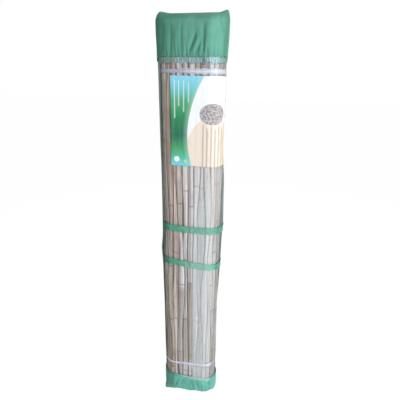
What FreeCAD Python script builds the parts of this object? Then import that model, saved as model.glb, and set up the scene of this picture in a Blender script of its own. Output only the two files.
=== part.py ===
"""A roll of split bamboo fence panel standing on its end in its carrying bag.

The roll is one long mat of bamboo slats, wound flat.  Its outer turn is made slat by slat,
the turns inside are one solid, and rows of wire bind the slats.  Round it goes the bag: a
clear film window in front, a cloth back, gathered cloth caps at the top and the foot, and
two straps sewn into the side seams.

Frame: origin at the middle of the base, +Z up along the slats, the window faces -Y.
Lengths are in millimetres and angles in degrees.
"""

import FreeCAD, Part

import Sketcher
import math
import os

Vector = FreeCAD.Vector

# Driving dimensions: alias, value, what it is
SIZES = [
    ("slat_length", 1500.0, "height of the fence, which is the length of a slat"),
    ("roll_width", 222.0, "width of the roll over the crowns of its slats"),
    ("roll_depth", 100.0, "depth of the roll over the crowns of its slats"),
    ("slat_width", 18.2, "mean width of a slat along its skin"),
    ("slat_gap", 1.2, "least mean gap between two slats"),
    ("width_spread", 1.6, "how far a slat is wider or narrower than the mean"),
    ("slat_wall", 3.5, "thickness of the culm wall"),
    ("culm_radius", 30.0, "outer radius of the culm that the slats are split from"),
    ("node_pitch", 305.0, "mean height between two node rings"),
    ("node_spread", 46.0, "how far that height changes from slat to slat"),
    ("node_height", 14.0, "height of a node ring"),
    ("node_bump", 0.5, "how far a node ring stands out of the skin"),
    ("turn_pitch", 4.4, "spacing of the turns inside the roll"),
    ("turn_thickness", 3.6, "thickness of one inner turn"),
    ("ridge_depth", 1.1, "depth of the groove between two slats of an inner turn"),
    ("core_gap", 0.6, "half of the slot left in the middle of the roll"),
    ("wire_diameter", 1.0, "binding wire"),
    ("wire_end", 107.0, "from a slat's end to the nearest row of wire"),
    ("wire_rows", 5, "how many rows of wire"),
    ("clearance", 0.2, "air between two layers of the roll"),
    ("bag_clearance", 0.5, "air between two layers of the bag"),
    ("tie_thickness", 0.7, "ribbon that ties the roll"),
    ("top_tie_width", 17.0, "height of the ribbon near the top"),
    ("top_tie_drop", 137.0, "its middle below the slats' tops"),
    ("foot_tie_width", 10.0, "height of the ribbon near the foot"),
    ("foot_tie_rise", 156.0, "its middle above the slats' feet"),
    ("top_tie_lean", 0.6, "slope of the top ribbon towards the right"),
    ("foot_tie_lean", 4.5, "slope of the foot ribbon towards the right"),
    ("label_width", 204.0, "printed sheet behind the window"),
    ("label_height", 291.0, "height of the printed sheet"),
    ("label_thickness", 0.3, "card of the printed sheet"),
    ("label_left", -61.0, "left edge of the sheet, along the crowns from the front's middle"),
    ("label_drop", 157.0, "upper edge of the sheet below the slats' tops"),
    ("film_foot", 48.0, "lower edge of the window and the back, inside the foot cap"),
    ("film_thickness", 0.3, "clear film of the window"),
    ("cloth_thickness", 0.5, "cloth of the back and of the caps"),
    ("floor_thickness", 1.0, "doubled cloth under the slats"),
    ("seam_lap", 12.0, "lap of cloth over film at a seam"),
    ("left_seam", -94.0, "left edge of the window, along the crowns from the front's middle"),
    ("right_seam", 143.0, "right edge of the window, along the crowns"),
    ("foot_cap_height", 66.0, "height of the foot cap in the middle of the front"),
    ("foot_cap_rise", 28.0, "how much higher the foot cap's edge is at the sides"),
    ("top_cap_drop", 113.0, "lower edge of the top cap below the slats' tops"),
    ("top_rise", 28.0, "height of the top seam above the slats"),
    ("ear_rise", 9.0, "how far the ends of the top seam stand up"),
    ("pleat_depth", 2.4, "depth of the gathers at the edge of a cap"),
    ("pleat_height", 74.0, "height over which the top cap's gathers fade"),
    ("strap_width", 25.0, "webbing strap"),
    ("strap_thickness", 0.9, "thickness of the strap"),
    ("upper_strap_rise", 61.0, "middle of the upper strap above the slats' middle"),
    ("upper_strap_lean", -0.5, "slope of the upper strap towards the right"),
    ("lower_strap_rise", -88.0, "middle of the lower strap above the slats' middle"),
    ("lower_strap_lean", -4.0, "slope of the lower strap towards the right"),
]

# Corners of a slat's section as shares of its half angle, on the skin and at the back
SKIN_FACETS = (-1, -0.4, 0.4, 1)
BACK_FACETS = (1, 0, -1)

# Where a soft layer bends over a slat, as a share of the slat's width from its middle
CROWN_SHARE = 0.28

# How far the bag bulges out: share of the slat length, bulge at its left and at its right
BULGES = [
    (0.00, 3.6, 3.6),
    (0.07, 1.0, 2.6),
    (0.27, 0.4, 0.3),
    (0.40, 2.2, 2.4),
    (0.468, 5.6, 4.2),
    (0.55, 0.6, 8.0),
    (0.66, 0.2, 4.6),
    (0.74, 0.2, 0.4),
    (0.90, 0.8, 0.2),
    (0.96, 3.0, 1.6),
    (1.02, 4.4, 2.4),
]

doc = FreeCAD.newDocument("bamboo_fence_panel")
sheet = doc.addObject("Spreadsheet::Sheet", "Sizes")
for row, (alias, value, note) in enumerate(SIZES, start=1):
    sheet.set(f"A{row}", alias)
    sheet.set(f"B{row}", str(value))
    sheet.set(f"C{row}", note)
    sheet.setAlias(f"B{row}", alias)
doc.recompute()


def size(alias):
    """A driving dimension as a number."""
    return float(sheet.get(alias))


# What follows from the driving dimensions

half_depth = size("roll_depth") / 2
half_flat = (size("roll_width") - size("roll_depth")) / 2
crown_line = 4 * half_flat + 2 * math.pi * half_depth
slat_count = int(crown_line / (size("slat_width") + size("slat_gap")))
slat_foot = size("floor_thickness")
slat_top = slat_foot + size("slat_length")
slat_middle = slat_foot + size("slat_length") / 2
top_cap_foot = slat_top - size("top_cap_drop")
label_top = slat_top - size("label_drop")
clearance = size("clearance")

# The layers from the slats' crowns outwards
widest = size("slat_width") + size("width_spread")
half_turn = widest / size("culm_radius") / 2
skin_dip = size("culm_radius") * (1 - math.cos(SKIN_FACETS[2] * half_turn))
wire_seat = size("node_bump") + clearance - skin_dip
label_seat = wire_seat + size("wire_diameter") + clearance
film_seat = label_seat + size("label_thickness") + size("bag_clearance")
cloth_seat = film_seat + size("film_thickness") + size("bag_clearance")
strap_seat = cloth_seat + size("cloth_thickness") + size("bag_clearance")

# The layers from the crowns inwards
slat_back = size("slat_wall") + size("culm_radius") * (1 - math.cos(half_turn)) + clearance
half_pitch_turn = crown_line / slat_count / 2 / half_depth
wire_sag = (half_depth - slat_back) * (1 - math.cos(half_pitch_turn))
coil_seat = slat_back + size("wire_diameter") + wire_sag + clearance


# The line that the crowns of the outer slats follow


def crown_frame(distance):
    """Point and outward direction on the crowns' line, a circle pulled out flat.

    distance runs from the middle of the front towards the right and round the back.
    """
    along = distance % crown_line
    bend = math.pi * half_depth
    if along <= half_flat:
        return along, -half_depth, 0.0, -1.0
    if along <= half_flat + bend:
        turn = (along - half_flat) / half_depth - math.pi / 2
        centre = half_flat
    elif along <= 3 * half_flat + bend:
        return 2 * half_flat + bend - along, half_depth, 0.0, 1.0
    elif along <= 3 * half_flat + 2 * bend:
        turn = (along - 3 * half_flat - bend) / half_depth + math.pi / 2
        centre = -half_flat
    else:
        return along - crown_line, -half_depth, 0.0, -1.0
    across, out = math.cos(turn), math.sin(turn)
    return centre + half_depth * across, half_depth * out, across, out


def width_share(number):
    """How a slat's width differs from the mean, from -1 to 1."""
    return round(math.sin(2.4 * number), 3)


slat_numbers = range(1, slat_count + 1)
slat_widths = [size("slat_width") + size("width_spread") * width_share(n) for n in slat_numbers]
gap = (crown_line - sum(slat_widths)) / slat_count
slat_centres = []
reach = 0.0
for width in slat_widths:
    slat_centres.append(reach + width / 2)
    reach += width + gap


# Slats of the outer turn


def draw_outline(sketch, corners):
    """Closed outline through corners, each held by its two bound distances.

    A corner is ((value, expression), (value, expression)) across and up.
    """
    points = [Vector(across[0], up[0], 0) for across, up in corners]
    for start, end in zip(points, points[1:] + points[:1]):
        sketch.addGeometry(Part.LineSegment(start, end))
    count = len(points)
    for index, (across, up) in enumerate(corners):
        before = (index - 1) % count
        sketch.addConstraint(Sketcher.Constraint("Coincident", before, 2, index, 1))
        held = sketch.addConstraint(Sketcher.Constraint("DistanceX", -1, 1, index, 1, across[0]))
        sketch.setExpression(f"Constraints[{held}]", across[1])
        held = sketch.addConstraint(Sketcher.Constraint("DistanceY", -1, 1, index, 1, up[0]))
        sketch.setExpression(f"Constraints[{held}]", up[1])


def new_sketch(body, name, height):
    """Sketch across the slat at a height given as (value, expression)."""
    plane = next(item for item in body.Origin.OriginFeatures if item.Role == "XY_Plane")
    sketch = body.newObject("Sketcher::SketchObject", name)
    sketch.AttachmentSupport = [(plane, "")]
    sketch.MapMode = "FlatFace"
    sketch.AttachmentOffset = FreeCAD.Placement(Vector(0, 0, height[0]), FreeCAD.Rotation())
    sketch.setExpression("AttachmentOffset.Base.z", height[1])
    return sketch


def culm_point(radius, share, width):
    """Corner on a culm of that radius, at a share of the slat's half angle."""
    half_angle = width[0] / size("culm_radius") / 2
    turn_text = f"({share} * {width[1]} / Sizes.culm_radius / 2 * 180 / pi)"
    across = (radius[0] * math.cos(share * half_angle), f"{radius[1]} * cos{turn_text}")
    along = (radius[0] * math.sin(share * half_angle), f"{radius[1]} * sin{turn_text}")
    return across, along


def add_slat(number):
    """One slat: a strip split from a culm, with its node rings, the skin facing +X."""
    body = doc.addObject("PartDesign::Body", f"Slat{number:02d}")
    body.Label = f"slat_{number:02d}"
    width_text = f"(Sizes.slat_width + Sizes.width_spread * {width_share(number)})"
    width = (slat_widths[number - 1], width_text)
    radius, wall = size("culm_radius"), size("slat_wall")
    skin = (radius, "Sizes.culm_radius")
    back = (radius - wall, "(Sizes.culm_radius - Sizes.slat_wall)")
    root = (radius - wall / 2, "(Sizes.culm_radius - Sizes.slat_wall / 2)")
    crest = (radius + size("node_bump"), "(Sizes.culm_radius + Sizes.node_bump)")

    section = new_sketch(body, f"Section{number:02d}", (slat_foot, "Sizes.floor_thickness"))
    outline = [culm_point(skin, share, width) for share in SKIN_FACETS]
    outline += [culm_point(back, share, width) for share in BACK_FACETS]
    draw_outline(section, outline)
    strip = body.newObject("PartDesign::Pad", f"Strip{number:02d}")
    strip.Profile = section
    strip.Length = size("slat_length")
    strip.setExpression("Length", "Sizes.slat_length")

    share = round(math.sin(1.7 * number), 3)
    pitch = size("node_pitch") + size("node_spread") * share
    pitch_text = f"(Sizes.node_pitch + Sizes.node_spread * {share})"
    start = round(0.2 + 0.6 * (0.618 * number % 1), 3)
    profiles = []
    for side, outer in ((-0.5, skin), (0, crest), (0.5, skin)):
        level = slat_foot + start * pitch + side * size("node_height")
        text = f"Sizes.floor_thickness + {start} * {pitch_text} + {side} * Sizes.node_height"
        profile = new_sketch(body, f"Node{number:02d}_{len(profiles)}", (level, text))
        outline = [culm_point(outer, place, width) for place in SKIN_FACETS]
        outline += [culm_point(root, place, width) for place in (1, -1)]
        draw_outline(profile, outline)
        profiles.append(profile)
    ring = body.newObject("PartDesign::AdditiveLoft", f"Ring{number:02d}")
    ring.Profile = profiles[0]
    ring.Sections = profiles[1:]
    ring.Ruled = True

    rings = body.newObject("PartDesign::LinearPattern", f"Rings{number:02d}")
    rings.Originals = [ring]
    rings.Direction = (profiles[0], ["N_Axis"])
    more = int((size("slat_length") - start * pitch - size("node_height") / 2) / pitch)
    rings.Occurrences = more + 1
    rings.Length = more * pitch
    rings.setExpression("Length", f"{more} * {pitch_text}")
    body.Tip = rings

    x, y, out_x, out_y = crown_frame(slat_centres[number - 1])
    facing = math.degrees(math.atan2(out_y, out_x))
    seat = Vector(x - out_x * radius, y - out_y * radius, 0)
    body.Placement = FreeCAD.Placement(seat, FreeCAD.Rotation(Vector(0, 0, 1), facing))
    return body


slats = [add_slat(number) for number in slat_numbers]


# Turns inside the roll


def coil_outline():
    """Section of the inner turns: the mat's ridged face outwards, its plain face back in."""
    ridged, plain = [], []
    radius = half_depth - coil_seat
    step = size("turn_pitch") / 2
    thickness, ridge = size("turn_thickness"), size("ridge_depth")
    slat_pitch = size("slat_width") + gap
    side = 1
    halves = int((radius - thickness - size("core_gap")) / step)
    for half in range(halves):
        across = 2 * int(2 * half_flat / slat_pitch)
        for index in range(across):
            share = index / across
            x = side * (2 * share - 1) * half_flat
            depth = radius - step * share
            ridged.append(Vector(x, -side * (depth - ridge * (index % 2)), 0))
            if index == 0:
                plain.append(Vector(x, -side * (depth - thickness), 0))
        radius -= step
        around = 2 * max(2, round(math.pi * radius / slat_pitch))
        for index in range(around):
            turn = math.pi * (index / around - 0.5)
            out_x, out_y = side * math.cos(turn), side * math.sin(turn)
            centre = side * half_flat
            out = radius - ridge * (index % 2)
            ridged.append(Vector(centre + out * out_x, out * out_y, 0))
            inner = radius - thickness
            plain.append(Vector(centre + inner * out_x, inner * out_y, 0))
        side = -side
    return ridged + plain[::-1]


def add_upright_piece(label, section, length, length_text, height, height_text):
    """Upright piece: a flat section drawn up from a height by a bound length."""
    base = doc.addObject("Part::Feature", f"{label}_section")
    base.Shape = section
    piece = doc.addObject("Part::Extrusion", label)
    piece.Label = label
    piece.Base = base
    piece.DirMode = "Custom"
    piece.Dir = Vector(0, 0, 1)
    piece.Solid = True
    piece.LengthFwd = length
    piece.setExpression("LengthFwd", length_text)
    piece.Placement = FreeCAD.Placement(Vector(0, 0, height), FreeCAD.Rotation())
    piece.setExpression("Placement.Base.z", height_text)
    return piece


coil_line = coil_outline()
coil_face = Part.Face(Part.makePolygon(coil_line + coil_line[:1]))
coil_length = (size("slat_length"), "Sizes.slat_length")
coil = add_upright_piece("inner_turns", coil_face, *coil_length, slat_foot, "Sizes.floor_thickness")


# Columns round the roll, two on the crown of each slat, that every soft layer follows


def roll_columns():
    """Columns as (distance, x, y, out_x, out_y)."""
    columns = []
    for centre, width in zip(slat_centres, slat_widths):
        x, y, out_x, out_y = crown_frame(centre)
        for step in (-CROWN_SHARE * width, CROWN_SHARE * width):
            columns.append((centre + step, x - out_y * step, y + out_x * step, out_x, out_y))
    return columns


def column_at(distance):
    """Column at a distance along the crowns, between the two beside it."""
    wanted = (distance - COLUMNS[0][0]) % crown_line + COLUMNS[0][0]
    ring = COLUMNS + [(COLUMNS[0][0] + crown_line,) + COLUMNS[0][1:]]
    for before, after in zip(ring, ring[1:]):
        if before[0] <= wanted <= after[0]:
            share = (wanted - before[0]) / (after[0] - before[0])
            return tuple(a + share * (b - a) for a, b in zip(before, after))
    raise ValueError(f"no column at {distance}")


def columns_between(left, right):
    """Columns of a strip that runs from left to right along the crowns."""
    inside = []
    for lap in (-crown_line, 0.0, crown_line):
        inside += [(column[0] + lap,) + column[1:] for column in COLUMNS]
    inside = [column for column in inside if left + 1 < column[0] < right - 1]
    first = (left,) + column_at(left)[1:]
    last = (right,) + column_at(right)[1:]
    return [first] + inside + [last]


def bulge_at(height, side):
    """How far the bag stands out at a height, at its left if side is negative."""
    share = (height - slat_foot) / size("slat_length")
    place = 1 if side < 0 else 2
    for lower, upper in zip(BULGES, BULGES[1:]):
        if share <= upper[0]:
            part = (share - lower[0]) / (upper[0] - lower[0])
            return lower[place] + part * (upper[place] - lower[place])
    return BULGES[-1][place]


def levels_between(low, high):
    """Heights of a layer's rows: its two edges and each break of the bulge between them."""
    breaks = [slat_foot + share * size("slat_length") for share, left, right in BULGES]
    return [low] + [level for level in breaks if low + 8 < level < high - 8] + [high]


def on_layer(column, seat, height):
    """Point of a layer that lies seat outside the crowns."""
    out = seat + bulge_at(height, column[3]) * column[3] ** 2
    return Vector(column[1] + column[3] * out, column[2] + column[4] * out, height)


def solid_from_facets(points, facets):
    """Solid inside a closed skin of flat facets."""
    skin = Part.Shape()
    skin.makeShapeFromMesh((points, facets), 0.001)
    solid = Part.makeSolid(skin)
    if solid.Volume < 0:
        solid.reverse()
    return solid.removeSplitter()


def add_soft_piece(label, solid):
    """Soft piece whose form follows the columns of the roll."""
    piece = doc.addObject("Part::Feature", label)
    piece.Label = label
    piece.Shape = solid
    soft_pieces.append(piece)


def numbered(rows, points):
    """Rows of point numbers for rows of points, which join the list of points."""
    numbers = []
    for row in rows:
        numbers.append(list(range(len(points), len(points) + len(row))))
        points += row
    return numbers


def strip_facets(first, second, closed):
    """Two rows of point numbers joined by pairs of facets."""
    facets = []
    count = len(first)
    for index in range(count if closed else count - 1):
        after = (index + 1) % count
        facets.append((first[index], first[after], second[after]))
        facets.append((first[index], second[after], second[index]))
    return facets


def skin_facets(rows, closed):
    """Facets over a grid of point numbers."""
    facets = []
    for lower, upper in zip(rows, rows[1:]):
        facets += strip_facets(lower, upper, closed)
    return facets


def turned_over(facets):
    """The same facets seen from their other side."""
    return [facet[::-1] for facet in facets]


def sheet_solid(outer, inner, closed):
    """Thin solid between two grids of points that have the same rows."""
    points = []
    outer, inner = numbered(outer, points), numbered(inner, points)
    facets = skin_facets(outer, closed) + turned_over(skin_facets(inner, closed))
    facets += strip_facets(inner[0], outer[0], closed) + strip_facets(outer[-1], inner[-1], closed)
    if not closed:
        for end, near, far in ((0, inner, outer), (-1, outer, inner)):
            near, far = [row[end] for row in near], [row[end] for row in far]
            facets += turned_over(strip_facets(near, far, False))
    return solid_from_facets(points, facets)


def layer_solid(columns, levels, seat, thickness, closed=False):
    """Sheet round the roll; each level gives the height of a row at a column."""
    outer = [[on_layer(c, seat + thickness, level(c)) for c in columns] for level in levels]
    inner = [[on_layer(c, seat, level(c)) for c in columns] for level in levels]
    return sheet_solid(outer, inner, closed)


def flat_levels(low, high):
    """Level rows from low to high."""
    return [lambda column, height=height: height for height in levels_between(low, high)]


def leaning_levels(middle, width, lean):
    """Two rows of a band that climbs by lean degrees towards the right."""
    slope = math.tan(math.radians(lean))
    return [
        lambda column: middle - width / 2 + slope * column[1],
        lambda column: middle + width / 2 + slope * column[1],
    ]


COLUMNS = roll_columns()
soft_pieces = []


# Wires that bind the slats


def add_wire_row(number):
    """Two strands of wire, one before the slats and one behind them."""
    label = f"binding_wire_{number}"
    share = (number - 1) / (size("wire_rows") - 1)
    height = slat_foot + size("wire_end") + share * (size("slat_length") - 2 * size("wire_end"))
    climb = f"{number - 1} * (Sizes.slat_length - 2 * Sizes.wire_end) / (Sizes.wire_rows - 1)"
    height_text = f"Sizes.floor_thickness + Sizes.wire_end + {climb}"
    diameter = size("wire_diameter")
    crowns = [(centre,) + crown_frame(centre) for centre in slat_centres]
    strands = [(COLUMNS, wire_seat + diameter, wire_seat), (crowns, -slat_back, -slat_back - diameter)]
    rings = []
    for columns, outer_seat, inner_seat in strands:
        lines = []
        for seat in (outer_seat, inner_seat):
            lines.append([Vector(c[1] + c[3] * seat, c[2] + c[4] * seat, 0) for c in columns])
        outer, inner = [Part.Face(Part.makePolygon(line + line[:1])) for line in lines]
        rings.append(outer.cut(inner))
    section = Part.makeCompound(rings)
    return add_upright_piece(label, section, diameter, "Sizes.wire_diameter", height, height_text)


wires = [add_wire_row(number) for number in range(1, int(size("wire_rows")) + 1)]


# Ribbons that tie the roll, and the printed sheet

tie_heights = {"top": slat_top - size("top_tie_drop"), "foot": slat_foot + size("foot_tie_rise")}
for name, height in tie_heights.items():
    levels = leaning_levels(height, size(f"{name}_tie_width"), size(f"{name}_tie_lean"))
    ribbon = layer_solid(COLUMNS, levels, wire_seat, size("tie_thickness"), closed=True)
    add_soft_piece(f"{name}_tie", ribbon)

label_columns = columns_between(size("label_left"), size("label_left") + size("label_width"))
label_levels = flat_levels(label_top - size("label_height"), label_top)
add_soft_piece("label_sheet", layer_solid(label_columns, label_levels, label_seat, size("label_thickness")))


# The bag: window, back, straps

window_left, window_right = size("left_seam"), size("right_seam")
lap = size("seam_lap")
film_columns = columns_between(window_left - lap, window_right + lap)
film_levels = flat_levels(size("film_foot"), top_cap_foot + lap)
add_soft_piece("clear_film", layer_solid(film_columns, film_levels, film_seat, size("film_thickness")))

back_columns = columns_between(window_right, window_left + crown_line)
back_solid = layer_solid(back_columns, film_levels, cloth_seat, size("cloth_thickness"))
add_soft_piece("back_panel", back_solid)

for name in ("upper", "lower"):
    height = slat_middle + size(f"{name}_strap_rise")
    levels = leaning_levels(height, size("strap_width"), size(f"{name}_strap_lean"))
    strap_columns = columns_between(window_left - lap, window_right + lap)
    strap = layer_solid(strap_columns, levels, strap_seat, size("strap_thickness"))
    add_soft_piece(f"{name}_strap", strap)


# The bag's caps


def gather(index, share):
    """How far a gathered edge stands out at a column, share of the way into the gathers."""
    fold = 0.5 + 0.5 * math.sin(2.6 * index)
    return size("pleat_depth") * share * (0.35 * fold + 0.65 * (index % 2))


def cap_rows(heights, seat, shares):
    """Closed rows of a cap's skin; heights and shares give each row's height and gathers."""
    rows = []
    for height_of, share in zip(heights, shares):
        row = []
        for index, column in enumerate(COLUMNS):
            row.append(on_layer(column, seat + gather(index, share), height_of(column)))
        rows.append(row)
    return rows


def fan_facets(row, height, points):
    """Facets that close a level row of points round a point in its middle."""
    middle = len(points)
    points.append(Vector(0, 0, height))
    return [(row[index], row[(index + 1) % len(row)], middle) for index in range(len(row))]


def foot_cap_solid():
    """Cloth cap under the roll, its edge gathered and higher at the sides."""
    cloth, floor = size("cloth_thickness"), size("floor_thickness")
    widest_x = size("roll_width") / 2

    def rim(column):
        return size("foot_cap_height") + size("foot_cap_rise") * (column[1] / widest_x) ** 2

    shares = (0, 0.3, 1)
    outer_heights = (lambda c: 0.0, lambda c: 0.35 * rim(c), rim)
    inner_heights = (lambda c: floor, lambda c: 0.35 * rim(c), rim)
    points = []
    outer = numbered(cap_rows(outer_heights, strap_seat + cloth, shares), points)
    inner = numbered(cap_rows(inner_heights, strap_seat, shares), points)
    facets = skin_facets(outer, True) + turned_over(skin_facets(inner, True))
    facets += strip_facets(outer[-1], inner[-1], True)
    facets += turned_over(fan_facets(outer[0], 0.0, points)) + fan_facets(inner[0], floor, points)
    return solid_from_facets(points, facets)


def seam_facets(row, points):
    """Facets that close a flat seam between the front and the rear of its row."""
    front = [number for number in row if points[number].y < 0]
    rear = [number for number in row if points[number].y >= 0]
    front.sort(key=lambda number: points[number].x)
    rear.sort(key=lambda number: points[number].x)
    facets = []
    while len(front) > 1 or len(rear) > 1:
        step_front = len(rear) == 1
        if len(front) > 1 and len(rear) > 1:
            step_front = points[front[1]].x <= points[rear[1]].x
        if step_front:
            facets.append((front[0], front[1], rear[0]))
            front = front[1:]
        else:
            facets.append((front[0], rear[1], rear[0]))
            rear = rear[1:]
    return facets


def top_cap_solid():
    """Cloth cap over the slats, gathered at its foot and drawn flat into a seam at the top."""
    cloth = size("cloth_thickness")
    fade = top_cap_foot + size("pleat_height")
    shoulder = slat_top + 2 * cloth
    seam = slat_top + size("top_rise")
    reach = size("roll_width") / 2

    def seam_row(half_seam, height):
        row = []
        for column in COLUMNS:
            share = min(1.0, abs(column[1]) / reach)
            ear = size("ear_rise") * (share ** 4 - max(0.0, share - 0.93) / 0.07)
            side = -half_seam if column[2] < 0 else half_seam
            across = column[1] * (reach + strap_seat) / reach
            row.append(Vector(across, side, height + ear))
        return row

    shares = (1, 0.25, 0)
    heights = (lambda c: top_cap_foot, lambda c: fade, lambda c: shoulder)
    points = []
    outer = cap_rows(heights, strap_seat + cloth, shares) + [seam_row(2 * cloth, seam)]
    inner = cap_rows(heights, strap_seat, shares) + [seam_row(cloth / 2, seam - 2 * cloth)]
    outer, inner = numbered(outer, points), numbered(inner, points)
    facets = skin_facets(outer, True) + turned_over(skin_facets(inner, True))
    facets += strip_facets(inner[0], outer[0], True)
    facets += seam_facets(outer[-1], points) + turned_over(seam_facets(inner[-1], points))
    return solid_from_facets(points, facets)


add_soft_piece("bottom_cap", foot_cap_solid())
add_soft_piece("top_cap", top_cap_solid())


# Check every object and write every piece

doc.recompute()
for item in doc.Objects:
    if "Invalid" in item.State or "Error" in item.State:
        raise RuntimeError(f"{item.Name} did not build: {item.State}")

pieces = slats + [coil] + wires + soft_pieces
for piece in pieces:
    if piece.Shape.isNull() or not piece.Shape.isValid():
        raise RuntimeError(f"{piece.Label} has no valid shape")

os.makedirs("parts", exist_ok=True)
for piece in pieces:
    piece.Shape.exportStep(f"parts/{piece.Label}.step")
print(f"{len(pieces)} pieces, panel of {slat_count} slats a turn")
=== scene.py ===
"""A rolled fence of split bamboo slats, standing on its end in its carrying bag.

Lengths are in metres in the frame of the solids: +Z runs up along the slats, the clear window
faces -Y, and the origin is the middle of the base.  A place on the roll is given by its distance
along the line of the slats' crowns, from the middle of the front to the right, and its height.
"""

import logging
import math
from dataclasses import dataclass
from enum import Enum

import bmesh
import bpy
import numpy as np
from mathutils import Matrix, Vector


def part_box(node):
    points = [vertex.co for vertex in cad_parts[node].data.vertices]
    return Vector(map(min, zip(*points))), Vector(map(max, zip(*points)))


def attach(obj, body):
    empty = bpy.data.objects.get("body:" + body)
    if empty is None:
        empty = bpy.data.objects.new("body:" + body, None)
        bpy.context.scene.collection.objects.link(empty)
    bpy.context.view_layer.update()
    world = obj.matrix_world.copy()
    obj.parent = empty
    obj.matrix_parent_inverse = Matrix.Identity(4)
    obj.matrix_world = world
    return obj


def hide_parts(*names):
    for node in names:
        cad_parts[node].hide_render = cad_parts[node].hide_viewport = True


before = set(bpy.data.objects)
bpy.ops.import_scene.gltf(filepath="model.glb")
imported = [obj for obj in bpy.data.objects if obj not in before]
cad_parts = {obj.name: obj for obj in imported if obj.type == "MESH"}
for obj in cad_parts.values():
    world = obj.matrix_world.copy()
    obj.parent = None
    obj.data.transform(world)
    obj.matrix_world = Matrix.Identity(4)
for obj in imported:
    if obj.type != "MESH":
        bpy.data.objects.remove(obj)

LOG = logging.getLogger("bamboo_roll")
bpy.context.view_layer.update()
Array = np.ndarray
WHITE = (1.0, 1.0, 1.0, 1.0)


def linear(colour: str) -> tuple[float, ...]:
    """Turns six hexadecimal digits after a hash into linear light, with an alpha of 1."""
    channels = [int(colour[place:place + 2], 16) / 255 for place in (1, 3, 5)]
    light = [c / 12.92 if c <= 0.04045 else ((c + 0.055) / 1.055) ** 2.4 for c in channels]
    return (*light, 1.0)


def smooth(value: Array, low: float, high: float) -> Array:
    """Rises smoothly from 0 at low to 1 at high."""
    share = np.clip((value - low) / (high - low), 0.0, 1.0)
    return share * share * (3.0 - 2.0 * share)


def band(value: Array, low: float, high: float, end: float, last: float) -> Array:
    """Rises smoothly from 0 at low to 1 at high and falls back from end to last."""
    return smooth(value, low, high) * (1.0 - smooth(value, end, last))


def bell(value: Array, middle: float, width: float, power: int = 2) -> Array:
    """Is 1 in the middle and fades at both sides; a higher power makes its top flatter."""
    return np.exp(-(((value - middle) / width) ** power))


def net(left: float, right: float, columns: int, rows: int, closed: bool = False) -> tuple[Array, Array]:
    """Makes a grid of places.

    Args:
        left: First place of each row.
        right: Its last place, or the place where it would meet its start.
        columns: Places in a row.
        rows: Number of rows.
        closed: Whether each row runs back to its start.

    Returns:
        The places along the rows, and the share of the way up, for each point.
    """
    along = np.linspace(left, right, columns, endpoint=not closed)
    return np.broadcast_arrays(along[None, :], np.linspace(0.0, 1.0, rows)[:, None])


def middle_of(node: str) -> float:
    """Height of a solid's middle."""
    low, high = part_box(node)
    return (low.z + high.z) / 2


@dataclass(frozen=True)
class Waves:
    """Uneven waves over a sheet, the same on each run.

    Attributes:
        seed: Start of the random draws.
        count: How many plain waves are added up.
        across: Shortest and longest wave along the roll.
        along: Shortest and longest wave up the roll.
    """

    seed: int
    count: int
    across: tuple[float, float]
    along: tuple[float, float] = (1.0, 2.0)

    def at(self, distance: Array | float, height: Array | float = 0.0) -> Array:
        """Height of the waves at each place along and up the roll, mostly from -1 to 1."""
        draws = np.random.default_rng(self.seed)
        total = np.zeros(np.broadcast(distance, height).shape)
        for _ in range(self.count):
            run = 2 * math.pi / draws.uniform(*self.across) * draws.choice([-1.0, 1.0])
            rise = 2 * math.pi / draws.uniform(*self.along)
            total += np.sin(run * distance + rise * height + draws.uniform(0, 2 * math.pi))
        return total / math.sqrt(self.count)


@dataclass(frozen=True)
class Fold:
    """A crease in a sheet: a rounded ridge or furrow between two places.

    Attributes:
        foot: Distance and height of its lower end.
        head: Distance and height of its upper end.
        width: Half width of the crease.
        depth: How far it stands out, or in if negative.
        fade: Share of its length over which each end fades.
    """

    foot: tuple[float, float]
    head: tuple[float, float]
    width: float
    depth: float
    fade: float = 0.3

    def at(self, distance: Array, height: Array) -> Array:
        """How far the crease moves each place of a sheet outwards."""
        run = self.head[0] - self.foot[0]
        rise = self.head[1] - self.foot[1]
        length = math.hypot(run, rise)
        beside = ((distance - self.foot[0]) * rise - (height - self.foot[1]) * run) / length
        share = ((distance - self.foot[0]) * run + (height - self.foot[1]) * rise) / length ** 2
        return self.depth * band(share, 0.0, self.fade, 1.0 - self.fade, 1.0) * bell(beside, 0.0, self.width)


def folds(*rows: tuple[float, ...]) -> tuple[Fold, ...]:
    """Creases from rows of numbers: foot, head, width and depth."""
    return tuple(Fold(row[:2], row[2:4], *row[4:]) for row in rows)


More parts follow.
